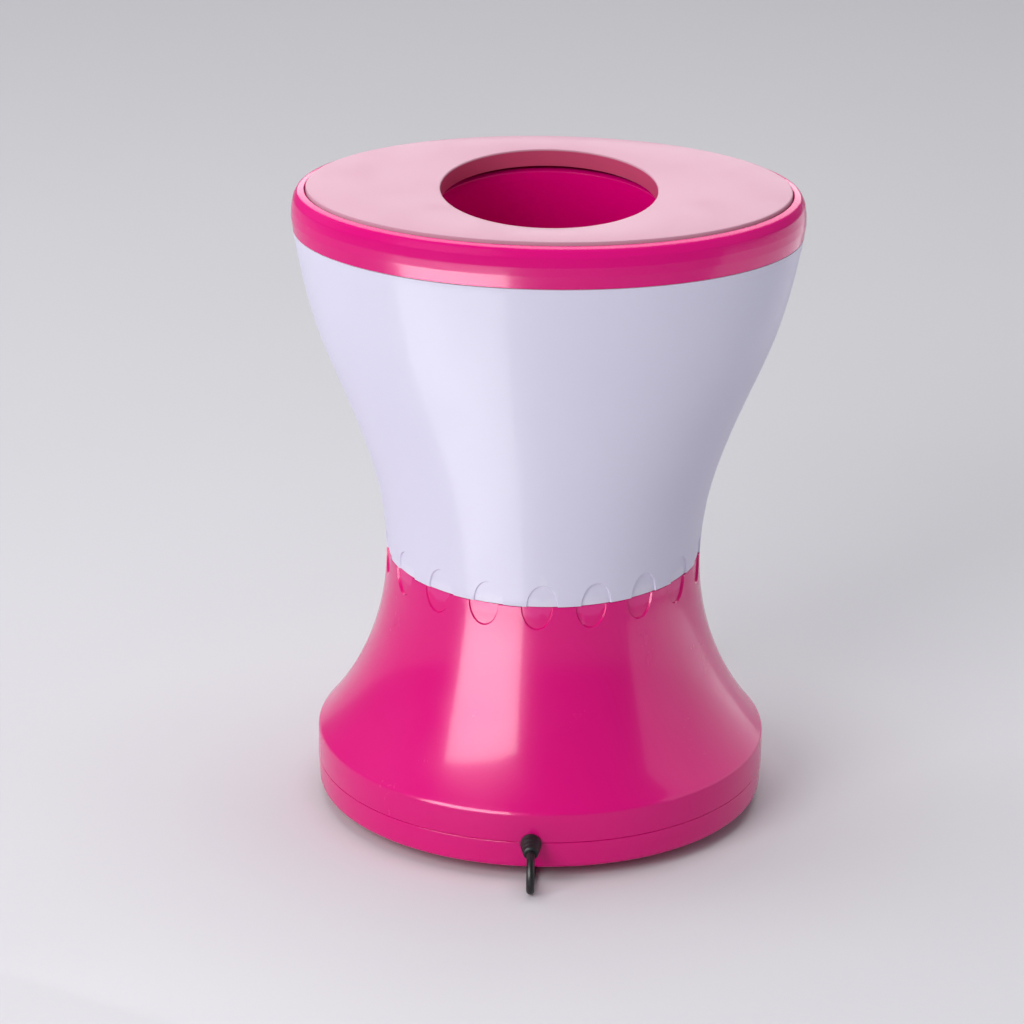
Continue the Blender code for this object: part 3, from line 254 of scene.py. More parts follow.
def pick(piece):
    """Makes one piece the only one selected, and active."""
    select_none()
    piece.select_set(True)
    bpy.context.view_layer.objects.active = piece


def rounded(corners, hollow, steps):
    """Rings with their corners rounded. Each corner is (half width, half depth, height, rounding)."""
    rings = []
    for i, (wide, deep, height, radius) in enumerate(corners):
        corner = Vector((wide, deep, height))
        last = i == len(corners) - 1
        on_axis = Vector((0, 0, height))
        before = Vector(corners[i - 1][:3]) if hollow or i else on_axis
        after = Vector(corners[(i + 1) % len(corners)][:3]) if hollow or not last else on_axis
        if radius:
            half = (before - corner).angle(after - corner) / 2
            room = 0.48 * min((before - corner).length, (after - corner).length)
            reach = min(radius / tan(half), room)
            start = corner + (before - corner).normalized() * reach
            end = corner + (after - corner).normalized() * reach
            for step in range(steps + 1):
                t = step / steps
                rings.append((1 - t) ** 2 * start + 2 * t * (1 - t) * corner + t * t * end)
        else:
            rings.append(corner)
    return rings


def drawn(name, corners, sides=48, hollow=False, steps=3):
    """A ring drawn out along an outline of (half width, half depth, height, rounding) in millimetres.

    A hollow piece closes on its own first ring. Any other piece has flat ends.
    """
    rings = rounded(corners, hollow, steps)
    if hollow:
        rings.append(rings[0])
    select_none()
    bpy.ops.mesh.primitive_circle_add(vertices=sides, radius=MM)
    piece = bpy.context.object
    piece.name = name
    bpy.ops.object.mode_set(mode="EDIT")
    bpy.ops.mesh.select_mode(type="VERT")
    bpy.ops.mesh.select_all(action="SELECT")
    wide, deep, height = rings[0]
    bpy.ops.transform.resize(value=(wide, deep, 1), center_override=(0, 0, 0))
    bpy.ops.transform.translate(value=(0, 0, height * MM))
    for next_wide, next_deep, next_height in rings[1:]:
        bpy.ops.mesh.extrude_region()
        bpy.ops.transform.translate(value=(0, 0, (next_height - height) * MM))
        centre = (0, 0, next_height * MM)
        bpy.ops.transform.resize(value=(next_wide / wide, next_deep / deep, 1), center_override=centre)
        wide, deep, height = next_wide, next_deep, next_height
    bpy.ops.mesh.select_all(action="SELECT")
    if hollow:
        bpy.ops.mesh.remove_doubles(threshold=0.002 * MM)
    else:
        bpy.ops.mesh.fill_holes(sides=0)
    bpy.ops.mesh.select_all(action="SELECT")
    bpy.ops.mesh.normals_make_consistent(inside=False)
    bpy.ops.object.mode_set(mode="OBJECT")
    return piece


def turned(name, corners, sides=48, hollow=False, steps=3):
    """A round piece from its profile of (radius, height, rounding)."""
    return drawn(name, [(r, r, z, edge) for r, z, edge in corners], sides, hollow, steps)


def block(name, size, centre, edge=0.0, steps=2):
    """A box in millimetres with softened edges."""
    select_none()
    bpy.ops.mesh.primitive_cube_add(size=MM)
    piece = bpy.context.object
    piece.name = name
    bpy.ops.object.mode_set(mode="EDIT")
    bpy.ops.transform.resize(value=size)
    bpy.ops.transform.translate(value=Vector(centre) * MM)
    if edge:
        bpy.ops.mesh.bevel(offset=edge * MM, segments=steps)
    bpy.ops.object.mode_set(mode="OBJECT")
    return piece


def place(piece, shift=(0, 0, 0), turn=(0, 0, 0)):
    """Turns a piece about the origin and shifts it, in millimetres, and leaves its place in its mesh."""
    pick(piece)
    piece.rotation_euler = turn
    piece.location = Vector(shift) * MM
    bpy.ops.object.transform_apply(location=True, rotation=True, scale=True)
    return piece


def another(piece, name, shift=(0, 0, 0), turn=(0, 0, 0)):
    """A copy with its own mesh, put in its own place."""
    pick(piece)
    bpy.ops.object.duplicate()
    made = bpy.context.object
    made.name = name
    return place(made, shift, turn)


def merged(*pieces):
    """Joins loose pieces that stay separate shells of one piece."""
    pick(pieces[0])
    for piece in pieces[1:]:
        piece.select_set(True)
    bpy.ops.object.join()
    return pieces[0]


def worked(piece, tool, operation="DIFFERENCE"):
    """Cuts a tool's shape from a piece, or welds it on, and throws the tool away."""
    pick(piece)
    bpy.ops.object.modifier_add(type="BOOLEAN")
    modifier = piece.modifiers[-1]
    modifier.operation = operation
    modifier.solver = "EXACT"
    modifier.object = tool
    bpy.ops.object.modifier_apply(modifier=modifier.name)
    bpy.data.objects.remove(tool)
    return piece


def eased(piece, width, steps=2, angle=30):
    """Rounds every edge sharper than the angle, by a width in millimetres."""
    pick(piece)
    bpy.ops.object.modifier_add(type="BEVEL")
    modifier = piece.modifiers[-1]
    modifier.width = width * MM
    modifier.segments = steps
    modifier.limit_method = "ANGLE"
    modifier.angle_limit = radians(angle)
    bpy.ops.object.modifier_apply(modifier=modifier.name)
    return piece


def moved(piece, chosen, shift):
    """Moves the points that the test picks, in millimetres."""
    pick(piece)
    bpy.ops.object.mode_set(mode="EDIT")
    bpy.ops.mesh.select_all(action="DESELECT")
    bpy.ops.object.mode_set(mode="OBJECT")
    for point in piece.data.vertices:
        point.select = chosen(point.co / MM)
    bpy.ops.object.mode_set(mode="EDIT")
    bpy.ops.mesh.select_mode(type="VERT")
    bpy.ops.transform.translate(value=Vector(shift) * MM)
    bpy.ops.object.mode_set(mode="OBJECT")
    return piece


def smooth(piece, angle=38):
    pick(piece)
    bpy.ops.object.shade_smooth_by_angle(angle=radians(angle))
    return piece


def fitted(piece, body, material, *nodes):
    """Gives a finished piece its material, and fixes it to its body in place of the CAD nodes."""
    piece.data.materials.clear()
    piece.data.materials.append(material)
    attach(piece, body)
    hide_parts(*nodes)
    return piece


def spots(radius, count, start=0.0):
    """Equal steps round a circle: x, y and the angle of each, in millimetres and radians."""
    angles = [start + tau * i / count for i in range(count)]
    return [(radius * cos(angle), radius * sin(angle), angle) for angle in angles]


# The plug: a moulded two-pin mains plug with a ribbed neck, a waisted grip and round pins whose roots are
# sleeved. It lies flat on the worktop beside the coil.
PLUG_TAIL = (28.42, 191.5, 6.9)
PIN_AWAY = 9.3
SLEEVE_END = 51.5
plug = turned("plug_moulding", [
    (3.05, 0, 0.5), (3.4, 3.2, 0), (3.0, 3.6, 0), (3.0, 4.6, 0), (3.6, 5.0, 0), (3.8, 7.6, 0),
    (3.3, 8.0, 0), (3.3, 9.0, 0), (3.95, 9.4, 0), (4.05, 12, 0),
], 32)
grip = block("plug_grip", (10.6, 18, 12), (0, 0, 17), 0)
pick(grip)
bpy.ops.object.mode_set(mode="EDIT")
bpy.ops.mesh.select_all(action="DESELECT")
bpy.ops.object.mode_set(mode="OBJECT")
for face in grip.data.polygons:
    face.select = face.normal.z > 0.5
bpy.ops.object.mode_set(mode="EDIT")
for rise, across, high in ((3, 1.5, 1.25), (8, 1.02, 1.02), (8, 1.0, 1.0)):
    bpy.ops.mesh.extrude_region()
    bpy.ops.transform.translate(value=(0, 0, rise * MM))
    bpy.ops.transform.resize(value=(high, across, 1))
bpy.ops.mesh.select_all(action="DESELECT")
bpy.ops.object.mode_set(mode="OBJECT")
for face in grip.data.polygons:
    face.select = face.normal.z < -0.9
bpy.ops.object.mode_set(mode="EDIT")
bpy.ops.mesh.select_mode(type="FACE")
bpy.ops.transform.resize(value=(0.78, 0.6, 1))
bpy.ops.object.mode_set(mode="OBJECT")
eased(grip, 1.6, 4, 12)
eased(plug, 0.15, 1)
worked(plug, grip, "UNION")
for side in (-1, 1):
    sleeve = turned("plug_sleeve", [(1.9, 40, 0), (1.9, SLEEVE_END, 0.4)], 24)
    worked(plug, place(sleeve, (0, side * PIN_AWAY, 0)), "UNION")
for side in (-1, 1):
    for step in range(5):
        rib = block("plug_rib", (4.6, 1.0, 0.9), (0, 0, 0), 0.3)
        worked(plug, place(rib, (0, side * 13.5, 28.4 + 2.6 * step)), "UNION")
smooth(place(plug, PLUG_TAIL, (0, pi / 2, 0)))
fitted(plug, "base", black_pvc, "plug_body")

plug_metal, coords = start_finish("plug_pin_metal")
worn = coords.noise(900, 3)
pull = coords.noise(300, 2, (1, 14, 14))
end_finish(coords, {
    "Base Color": coords.mixed(worn, (0.72, 0.68, 0.56, 1), (0.82, 0.8, 0.74, 1)),
    "Metallic": 1.0,
    "Roughness": 0.2 + pull * 0.2,
    "Normal": coords.bump(pull, 0.03 * MM, 0.6),
})
for i, side in enumerate((-1, 1), 1):
    pin = turned(f"plug_pin_{i}_round", [(1.75, SLEEVE_END, 0), (1.75, 61, 1.3)], 28, steps=5)
    smooth(place(place(pin, (0, side * PIN_AWAY, 0)), PLUG_TAIL, (0, pi / 2, 0)), 50)
    fitted(pin, "base", plug_metal, f"plug_pin_{i}")

# The tie: a nylon strap drawn tight round the coil, with its square locking head on the outside.
tie_nylon, coords = start_finish("tie_nylon")
mark = coords.noise(800, 3)
end_finish(coords, {
    "Base Color": coords.mixed(mark, (0.04, 0.04, 0.042, 1), (0.065, 0.064, 0.066, 1)),
    "Roughness": 0.38 + mark * 0.2,
    "Normal": coords.bump(mark, 0.05 * MM, 0.5),
})
TIE_MIDDLE = (25, 0, 8.3)
strap = block("coil_tie", (18.0, 5.6, 16.2), TIE_MIDDLE, 2.6, 5)
worked(strap, block("tie_space", (16.5, 8, 14.7), TIE_MIDDLE, 2.1, 5))
for i in range(9):
    worked(strap, block("tie_tooth", (0.5, 3.2, 0.8), (33.95, 0, 3.5 + 1.1 * i)))
worked(strap, block("tie_head", (1.9, 7.4, 5.2), (33.4, 0, 12.6), 0.35), "UNION")
eased(strap, 0.15, 1)
smooth(place(strap, COIL_CENTRE / MM, (0, 0, radians(-60))))
fitted(strap, "base", tie_nylon, "cord_tie")

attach(mains_lead, "base")
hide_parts("cord_tube", "cord_coil")

# ------------------------------------------------------------------------------
# The studio: a plain pale floor and soft light. Large panels light the object, and white cards that show
# only as reflections stand by it: a window at the front left, a wall to the right and one behind and above.
bpy.ops.mesh.primitive_plane_add(size=14)
floor = bpy.context.object
floor.name = "floor"
pale_floor, coords = start_finish("pale_floor")
drift = coords.noise(3, 2)
end_finish(coords, {
    "Base Color": coords.mixed(drift, (0.66, 0.655, 0.68, 1), (0.7, 0.695, 0.72, 1)),
    "Roughness": 0.7 + drift * 0.1,
    "Specular IOR Level": 0.05,
})
floor.data.materials.append(pale_floor)
floor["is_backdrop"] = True

world = bpy.data.worlds.new("studio")
world.use_nodes = True
world.node_tree.nodes["Background"].inputs["Color"].default_value = (0.82, 0.83, 0.88, 1)
world.node_tree.nodes["Background"].inputs["Strength"].default_value = 0.3
bpy.context.scene.world = world

PANELS = (
    # name, place, aimed at, width, height, power, colour, and if it shows as a reflection
    ("key", (-1.1, -1.6, 1.25), (0, 0, 0.2), 1.2, 1.2, 27, (1.0, 0.99, 0.98), False),
    ("right_fill", (1.7, -0.4, 0.8), (0, 0, 0.2), 1.2, 1.2, 2.5, (0.95, 0.96, 1.0), False),
    ("left_fill", (-1.7, 0.3, 0.9), (0, 0, 0.2), 1.2, 1.2, 8, (0.97, 0.97, 1.0), False),
    ("overhead", (0, 0.4, 2.2), (0, 0, 0.3), 2.0, 1.6, 26, (1, 1, 1), False),
    ("window_card", (-0.1895, -0.3075, 0.118), (0, 0, 0.118), 0.252, 0.226, 2.45, (1, 0.98, 0.98), True),
    ("right_card", (0.4, 0.11, 0.15), (0, 0.11, 0.15), 0.715, 0.3, 0.9, (0.97, 0.97, 1), True),
    ("back_card", (0, 1.3, 1.5), (0, 0, 0.35), 2.4, 2.4, 60, (1, 0.98, 0.99), True),
)
for name, spot, target, width, tall, power, colour, reflected in PANELS:
    bpy.ops.object.light_add(type="AREA", location=spot)
    light = bpy.context.object
    light.name = name
    light.data.shape = "RECTANGLE"
    light.data.size = width
    light.data.size_y = tall
    light.data.energy = power
    light.data.color = colour
    light.rotation_euler = (Vector(target) - Vector(spot)).to_track_quat("-Z", "Y").to_euler()
    light.visible_camera = False
    light.visible_glossy = reflected
    light.visible_diffuse = not reflected

# ------------------------------------------------------------------------------
# Feet: four moulded rubber buttons under the pan, each with a counterbore for a housing screw and a ring of
# tread. The pan-head screws go up through feet and pan into the skirt's bosses and hold all three together.
SCREW_HOLE = 1.9
CASE_CORNERS = spots(80, 4, pi / 4)

rubber_feet, coords = start_finish("rubber_feet")
chalk = coords.noise(260, 4).clear(0.5, 0.75)
pores = coords.noise(2600, 2)
end_finish(coords, {
    "Base Color": coords.mixed(chalk * 0.5, (0.018, 0.018, 0.02, 1), (0.09, 0.085, 0.085, 1)),
    "Roughness": 0.62 + chalk * 0.2,
    "Normal": coords.bump(pores, 0.08 * MM, 0.6),
})

foot = turned("foot_button_1", [
    (SCREW_HOLE, 6.7, 0.2), (SCREW_HOLE, 3.5, 0.1), (3.7, 3.5, 0.2), (3.7, 0, 0.4), (5.3, 0, 0.15),
    (5.4, 0.5, 0), (6.1, 0.5, 0), (6.2, 0, 0.15), (7.9, 0, 0.6), (9, 1.4, 1.0), (8.8, 6.7, 0.3),
], 56, hollow=True)


def metal(name, dark, bright, rough, lines, worn):
    """Bare or plated metal: fine lines left by the tool, cloudy tarnish and rubbed, brighter edges."""
    material, coords = start_finish(name)
    tarnish = coords.noise(90, 4)
    spots_of_wear = coords.noise(700, 3).clear(0.52, 0.72)
    edges = coords.node("ShaderNodeNewGeometry", {}, {}, "Pointiness").clear(0.51, 0.6)
    colour = coords.mixed(tarnish, (*dark, 1), (*bright, 1))
    end_finish(coords, {
        "Base Color": coords.mixed(edges * worn, colour, (0.95, 0.94, 0.93, 1)),
        "Metallic": 1.0,
        "Roughness": rough + tarnish * 0.1 + spots_of_wear * 0.12 - edges * 0.05,
        "Normal": coords.bump(lines(coords) + spots_of_wear * 0.3, 0.03 * MM, 0.5),
    })
    return material


def lathe_lines(coords):
    """Rings about the piece's own upright axis."""
    x, y, z = [coords.node("ShaderNodeSeparateXYZ", {}, {0: coords}, i) for i in range(3)]
    rings = coords.node("ShaderNodeCombineXYZ", {}, {0: (x * x + y * y) ** 0.5, 1: z})
    return rings.noise(2400, 2)


def drawn_lines(coords):
    """Long lines along X, as rolled sheet has."""
    return coords.noise(1800, 2, (0.04, 1, 1))


screw_steel = metal("screw_steel", (0.42, 0.42, 0.44), (0.6, 0.6, 0.62), 0.26, drawn_lines, 0.5)


def screw(name, length):
    """A pan-head screw: its cross-recessed head rests on height 0, and its rolled thread goes down."""
    pitch = 0.8
    thread = []
    for i in range(int((length - 2.6) / pitch)):
        thread += [(1.6, -1.2 - pitch * i, 0), (1.3, -1.6 - pitch * i, 0)]
    head = [(2.3, 2.2, 0.7), (3.2, 1.3, 0.5), (3.2, 0, 0.15), (1.6, 0, 0)]
    made = turned(name, [*head, *thread, (1.55, 1.0 - length, 0), (0.7, -length, 0)], 28)
    for turn in (0, pi / 2):
        worked(made, place(block("screw_recess", (3.4, 0.8, 2.4), (0, 0, 2.3), 0.15, 1), turn=(0, 0, turn)))
    return smooth(made, 32)


for i, (x, y, angle) in enumerate(CASE_CORNERS, 1):
    button = smooth(another(foot, f"foot_button_{i}_fitted", (x, y, 0)), 40)
    fitted(button, "base", rubber_feet, f"foot_{i}")
    long_screw = place(screw(f"case_screw_{i}", 21), (x, y, 3.2), (pi, 0, angle))
    fitted(long_screw, "base", screw_steel, f"housing_screw_{i}")
bpy.data.objects.remove(foot)

# ------------------------------------------------------------------------------
# Base pan: a shallow moulded tray in the same glossy pink ABS as the skirt, closing the housing from below.
# Air slots lie under the fan, three posts carry the motor, and a tongue inside the seam locates the skirt.
PAN_TOP_RADIUS = 121.294
RELIEF_HOLE = 4.1
MOTOR_POSTS = spots(46, 3, pi / 2)


def columns(name, profile, sides, places):
    """The same turned piece stood at each place."""
    return [place(turned(name, profile, sides), (x, y, 0)) for x, y, _ in places]


def screw_holes(name, low, high, places):
    """Cutters for a screw at each place, from one height to another."""
    return columns(name, [(SCREW_HOLE, low, 0), (SCREW_HOLE, high, 0)], 20, places)


def blocks_round(name, size, centre, places, edge=0.0, steps=2):
    """The same box turned about the upright axis to the angle of each place."""
    return [place(block(name, size, centre, edge, steps), turn=(0, 0, angle)) for _, _, angle in places]


def moulded(name, colour, shadow, worn, rough, shine, texture, hole_wall_shade=None):
    """Injection-moulded plastic: drifting pigment, orange peel, fine grain, hairline rubs and paler edges.

    The last argument, when given, is painted shade: a darker rose painted on the wall of a hole on the axis
    for the shadow inside it, with the radius and the height, in metres, that it reaches.
    """
    material, coords = start_finish(name)
    cloud = coords.noise(14, 3)
    peel = coords.noise(170, 2)
    grain = coords.noise(3800, 2)
    hairs = coords.noise(700, 3, (1, 1, 0.3)).clear(0.6, 0.8)
    rubs = coords.noise(38, 3).clear(0.42, 0.8)
    edges = coords.node("ShaderNodeNewGeometry", {}, {}, "Pointiness").clear(0.52, 0.62)
    body = coords.mixed(cloud, (*shadow, 1), (*colour, 1))
    # Painted shade: inside the hole and below its top, the colour turns to a darker rose that stands in for
    # the shadow there.
    if hole_wall_shade:
        x, y, z = [coords.node("ShaderNodeSeparateXYZ", {}, {0: coords}, i) for i in range(3)]
        painted_shade_colour, reach, top = hole_wall_shade
        within = 1 - ((x * x + y * y) ** 0.5).clear(reach - 0.2 * MM, reach)
        below = 1 - z.clear(top - 0.6 * MM, top)
        body = coords.mixed(within * below, body, (*painted_shade_colour, 1))
    end_finish(coords, {
        "Base Color": coords.mixed(edges * 0.2 + hairs * 0.01, body, (*worn, 1)),
        "Roughness": rough + peel * 0.04 + rubs * 0.06 + hairs * 0.03,
        "Specular IOR Level": shine,
        "Coat Weight": shine * 0.8 - rubs * 0.05,
        "Coat Roughness": 0.08,
        "Normal": coords.bump(peel + grain * texture, 0.02 * MM, 0.5),
    })
    return material


hot_pink = moulded(
    "hot_pink_abs", (0.74, 0.0, 0.205), (0.7, 0.0, 0.185), (0.9, 0.12, 0.42), rough=0.2, shine=0.25,
    texture=0.05,
)

pan = turned("base_tray", [
    (8, 7, 0), (120.3, 7, 3.6), (PAN_TOP_RADIUS, 22.2, 0.35), (118.6, 22.2, 0.1), (118.4, 24, 0.3),
    (117.2, 24, 0.3), (116.8, 11, 1.6), (114.6, 9.5, 1), (8, 9.5, 0),
], 168, steps=5)
posts = columns("pan_post", [(5.5, 8.2, 0), (4.5, 65.5, 0.4)], 32, MOTOR_POSTS)
worked(pan, merged(*posts), "UNION")
openings = screw_holes("post_bore", 53.5, 67, MOTOR_POSTS)
openings += screw_holes("foot_bore", 5, 12, CASE_CORNERS)
openings += blocks_round("air_slot", (16, 4, 8), (24, 0, 8), spots(1, 12), 1.7, 3)
worked(pan, merged(*openings))


def relief_bore():
    """The hole for the strain relief, half in the pan and half in the skirt."""
    bore = turned("relief_bore", [(RELIEF_HOLE, 112, 0), (RELIEF_HOLE, 128, 0)], 40)
    return place(bore, (RELIEF_X, 0, SEAM_Z), (pi / 2, 0, 0))


worked(pan, relief_bore())
fitted(smooth(pan, 32), "base", hot_pink, "base_pan")

# ------------------------------------------------------------------------------
# Skirt housing: one moulding in glossy hot-pink ABS. A straight band stands on the pan, and above a rounded
# crease the wall sweeps in to the waist. Bosses on ribs take the screws, and the waist has eighteen scoops.
BAND_RADIUS = 121.5
WAIST_RADIUS = 85.2
CREASE_Z = 39
FLARE_Z = 139.5
WAIST_Z = 144.5
COLLAR_TOP_Z = 151.7
SWEEP_DROP = BAND_RADIUS - WAIST_RADIUS
SWEEP_RISE = FLARE_Z - CREASE_Z
SWEEP_RADIUS = (SWEEP_RISE**2 + SWEEP_DROP**2) / (2 * SWEEP_DROP)
SWEEP_ANGLE = acos((SWEEP_RADIUS - SWEEP_DROP) / SWEEP_RADIUS)
SWEEP_STEPS = 26
SKIRT_WALL = 2.5
SCOOPS = 18
SCOOP_START = radians(-91.9)
SCOOP_DEPTH = 1
DECK_FIXINGS = spots(70, 3, pi / 6)
SIDES = 168


def sweep(share, inset=0.0):
    """Radius and height on the concave sweep, from the waist at 0 to the crease at 1, below the surface."""
    angle = SWEEP_ANGLE * share
    radius = WAIST_RADIUS + SWEEP_RADIUS * (1 - cos(angle))
    return radius - inset * cos(angle), FLARE_Z - SWEEP_RADIUS * sin(angle) - inset * sin(angle)


outside = [(*sweep(1 - i / SWEEP_STEPS), 0) for i in range(1, SWEEP_STEPS + 1)]
inside = [(*sweep(i / SWEEP_STEPS, SKIRT_WALL), 0) for i in range(1, SWEEP_STEPS)]
skirt = turned("skirt_moulding", [
    (PAN_TOP_RADIUS, SEAM_Z, 0.35), (BAND_RADIUS, CREASE_Z, 3.2), *outside,
    (WAIST_RADIUS, WAIST_Z, 0.35), (79, WAIST_Z, 0.5), (79, COLLAR_TOP_Z, 0.5),
    (76.5, COLLAR_TOP_Z, 0.4), (76.5, 142, 1), (82.7, 138.9, 1), *inside, (119, 37, 0.8),
    (118.9, SEAM_Z, 0.3),
], SIDES, hollow=True, steps=6)
bosses = columns("boss", [(5, 9.8, 0.2), (4.6, 53, 0.6)], 32, CASE_CORNERS)
worked(skirt, merged(*bosses), "UNION")
ribs = blocks_round("rib", (37.2, 2.4, 15), (101.6, 0, 32), CASE_CORNERS)
worked(skirt, merged(*ribs), "UNION")
ribs = []
for _, _, angle in CASE_CORNERS:
    rib = block("rib", (37.2, 2.4, 12.8), (101.6, 0, 45.8))
    moved(rib, lambda spot: spot.x > 110 and spot.z > 50, (-9.8, 0, 0))
    ribs.append(place(rib, turn=(0, 0, angle)))
worked(skirt, merged(*ribs), "UNION")
pads = blocks_round("pad", (12.4, 9, 8.8), (71.3, 0, 147.1), DECK_FIXINGS, 0.6)
worked(skirt, merged(*pads), "UNION")
openings = screw_holes("boss_bore", 8, 25.8, CASE_CORNERS)
openings += screw_holes("pad_bore", 130, 155, DECK_FIXINGS)
openings.append(block("switch_window", (14.6, 12, 9.7), (0, 120.4, 31.15), 0.4))
worked(skirt, merged(*openings))
worked(skirt, relief_bore())


def scoops(sheet, start):
    """Oval cutters round the waist, kept only outside the sheet that their floors follow."""
    cutters = []
    for i in range(SCOOPS):
        cutter = drawn("scoop", [(11.1, 7.1, 82, 0), (14.4, 10.4, 88, 0)], 48)
        cutters.append(place(cutter, (0, 0, WAIST_Z), (0, pi / 2, start + tau * i / SCOOPS)))
    return worked(merged(*cutters), sheet, "INTERSECT")


lower_sheet = turned("lower_sheet", [
    *[(*sweep(0.14 * (1 - i / 5), SCOOP_DEPTH), 0) for i in range(6)], (84.2, 146, 0), (93, 146, 0),
    (93, 116, 0),
], SIDES, hollow=True)
worked(skirt, scoops(lower_sheet, SCOOP_START))
fitted(smooth(skirt, 28), "base", hot_pink, "skirt_housing")

# ------------------------------------------------------------------------------
# Motor: a small mains motor in a drawn zinc-plated can, hung under a steel plate. The plate rests on three
# soft rubber grommets on the pan's posts, so that the spinner can settle without shaking the housing.
MOTOR_TOP_Z = 69.8
PLATE_TOP_Z = 71.6
SCREW_SEAT_Z = 71.9
CAN_FIXINGS = spots(15, 2)
SHAFT_HOLE = 2.8

zinc_can = metal("zinc_can", (0.44, 0.45, 0.47), (0.6, 0.62, 0.64), 0.34, lathe_lines, 0.3)
can = turned("motor_shell", [
    (SHAFT_HOLE, 39.8, 0), (21.2, 39.8, 1.6), (23, 41.8, 1.2), (23, 45, 0), (22.6, 45.5, 0),
    (22.6, 46.3, 0), (23, 46.8, 0), (23, 67.6, 1.2), (21, MOTOR_TOP_Z, 1.2), (7, MOTOR_TOP_Z, 0.3),
    (7, 73, 0.4), (SHAFT_HOLE, 73, 0.3),
], 72, hollow=True)
openings = screw_holes("tap", 62.8, 71, CAN_FIXINGS)
openings += blocks_round("can_vent", (6, 7, 2.2), (22, 0, 56), spots(1, 8, tau / 16), 0.8)
worked(can, merged(*openings))
fitted(smooth(can), "base", zinc_can, "motor_can")

black_nylon = moulded(
    "black_nylon", (0.022, 0.022, 0.024), (0.016, 0.016, 0.018), (0.09, 0.09, 0.095), rough=0.36,
    shine=0.2, texture=0.3,
)
cap = turned("motor_cap", [
    (SHAFT_HOLE, 35.5, 0.2), (8, 35.5, 0.3), (8.2, 36.1, 0), (16.6, 36.1, 0), (17, 35.5, 0.3),
    (18.2, 35.5, 0.5), (21, 39.5, 0.3), (SHAFT_HOLE, 39.5, 0.2),
], 72, hollow=True)
brushes = blocks_round("brush_holder", (5, 6, 3.2), (16, 0, 37.4), spots(1, 2), 0.5)
worked(cap, merged(*brushes), "UNION")
fitted(smooth(cap), "base", black_nylon, "motor_end_cap")

plated_steel = metal("plated_steel", (0.5, 0.5, 0.51), (0.66, 0.66, 0.67), 0.3, drawn_lines, 0.4)
plate = turned("motor_bracket", [
    (7.3, 70.1, 0), (55, 70.1, 0.25), (55, PLATE_TOP_Z, 0.25), (7.3, PLATE_TOP_Z, 0),
], 96, hollow=True)
openings = screw_holes("plate_hole", 68, 74, [*MOTOR_POSTS, *CAN_FIXINGS])
openings += blocks_round("plate_vent", (14, 26, 6), (36, 0, 71), spots(1, 3, -pi / 2), 2.6, 3)
worked(plate, merged(*openings))
fitted(smooth(plate), "base", plated_steel, "motor_plate")

grommet_rubber, coords = start_finish("grommet_rubber")
bloom = coords.noise(500, 3)
end_finish(coords, {
    "Base Color": coords.mixed(bloom.clear(0.5, 0.8), (0.02, 0.02, 0.022, 1), (0.075, 0.072, 0.07, 1)),
    "Roughness": 0.6 + bloom * 0.2,
    "Normal": coords.bump(coords.noise(3000, 2), 0.05 * MM, 0.5),
})
for i, (x, y, _) in enumerate(MOTOR_POSTS, 1):
    grommet = turned(f"plate_grommet_{i}", [
        (SCREW_HOLE, 65.8, 0.2), (6.5, 65.8, 0.4), (6.5, 67.1, 0.4), (5, 67.5, 0.2), (5, 68.1, 0.2),
        (6.5, 68.5, 0.4), (6.5, 69.8, 0.4), (SCREW_HOLE, 69.8, 0.2),
    ], 40, hollow=True)
    fitted(smooth(place(grommet, (x, y, 0)), 40), "base", grommet_rubber, f"motor_grommet_{i}")
    fixing = place(screw(f"bracket_screw_{i}", 14), (x, y, SCREW_SEAT_Z), (0, 0, i))
    fitted(fixing, "base", screw_steel, f"plate_screw_{i}")
for i, (x, y, _) in enumerate(CAN_FIXINGS, 1):
    fixing = place(screw(f"can_screw_{i}", 7.5), (x, y, SCREW_SEAT_Z), (0, 0, i))
    fitted(fixing, "base", screw_steel, f"motor_screw_{i}")

# ------------------------------------------------------------------------------
# Electrics on the pan's floor: a cream nylon terminal strip where the lead lands, and the small board that
# rectifies the motor's supply, with its capacitor and rectifier standing on it.
STRIP_X = 84
POLE_PITCH = 11
cream_nylon = moulded(
    "cream_nylon", (0.72, 0.66, 0.52), (0.66, 0.6, 0.46), (0.86, 0.82, 0.72), rough=0.42, shine=0.1,
    texture=0.3,
)
strip = block("terminal_strip", (14, 34, 12), (STRIP_X, 0, 15.8), 0.7, 2)
wells = []
for pole in (-1, 0, 1):
    well = turned("well", [(2.6, 14.5, 0), (2.6, 24, 0)], 24)
    wells.append(place(well, (STRIP_X, POLE_PITCH * pole, 0)))
    wire_way = turned("wire_way", [(1.7, -10, 0), (1.7, 10, 0)], 20)
    wells.append(place(wire_way, (STRIP_X, POLE_PITCH * pole, 12.6), (0, pi / 2, 0)))
worked(strip, merged(*wells))
gaps = [block("strip_gap", (16, 1.6, 5), (STRIP_X, POLE_PITCH / 2 * side, 20.6), 0.3) for side in (-1, 1)]
worked(strip, merged(*gaps))
fitted(smooth(strip), "base", cream_nylon, "terminal_block")

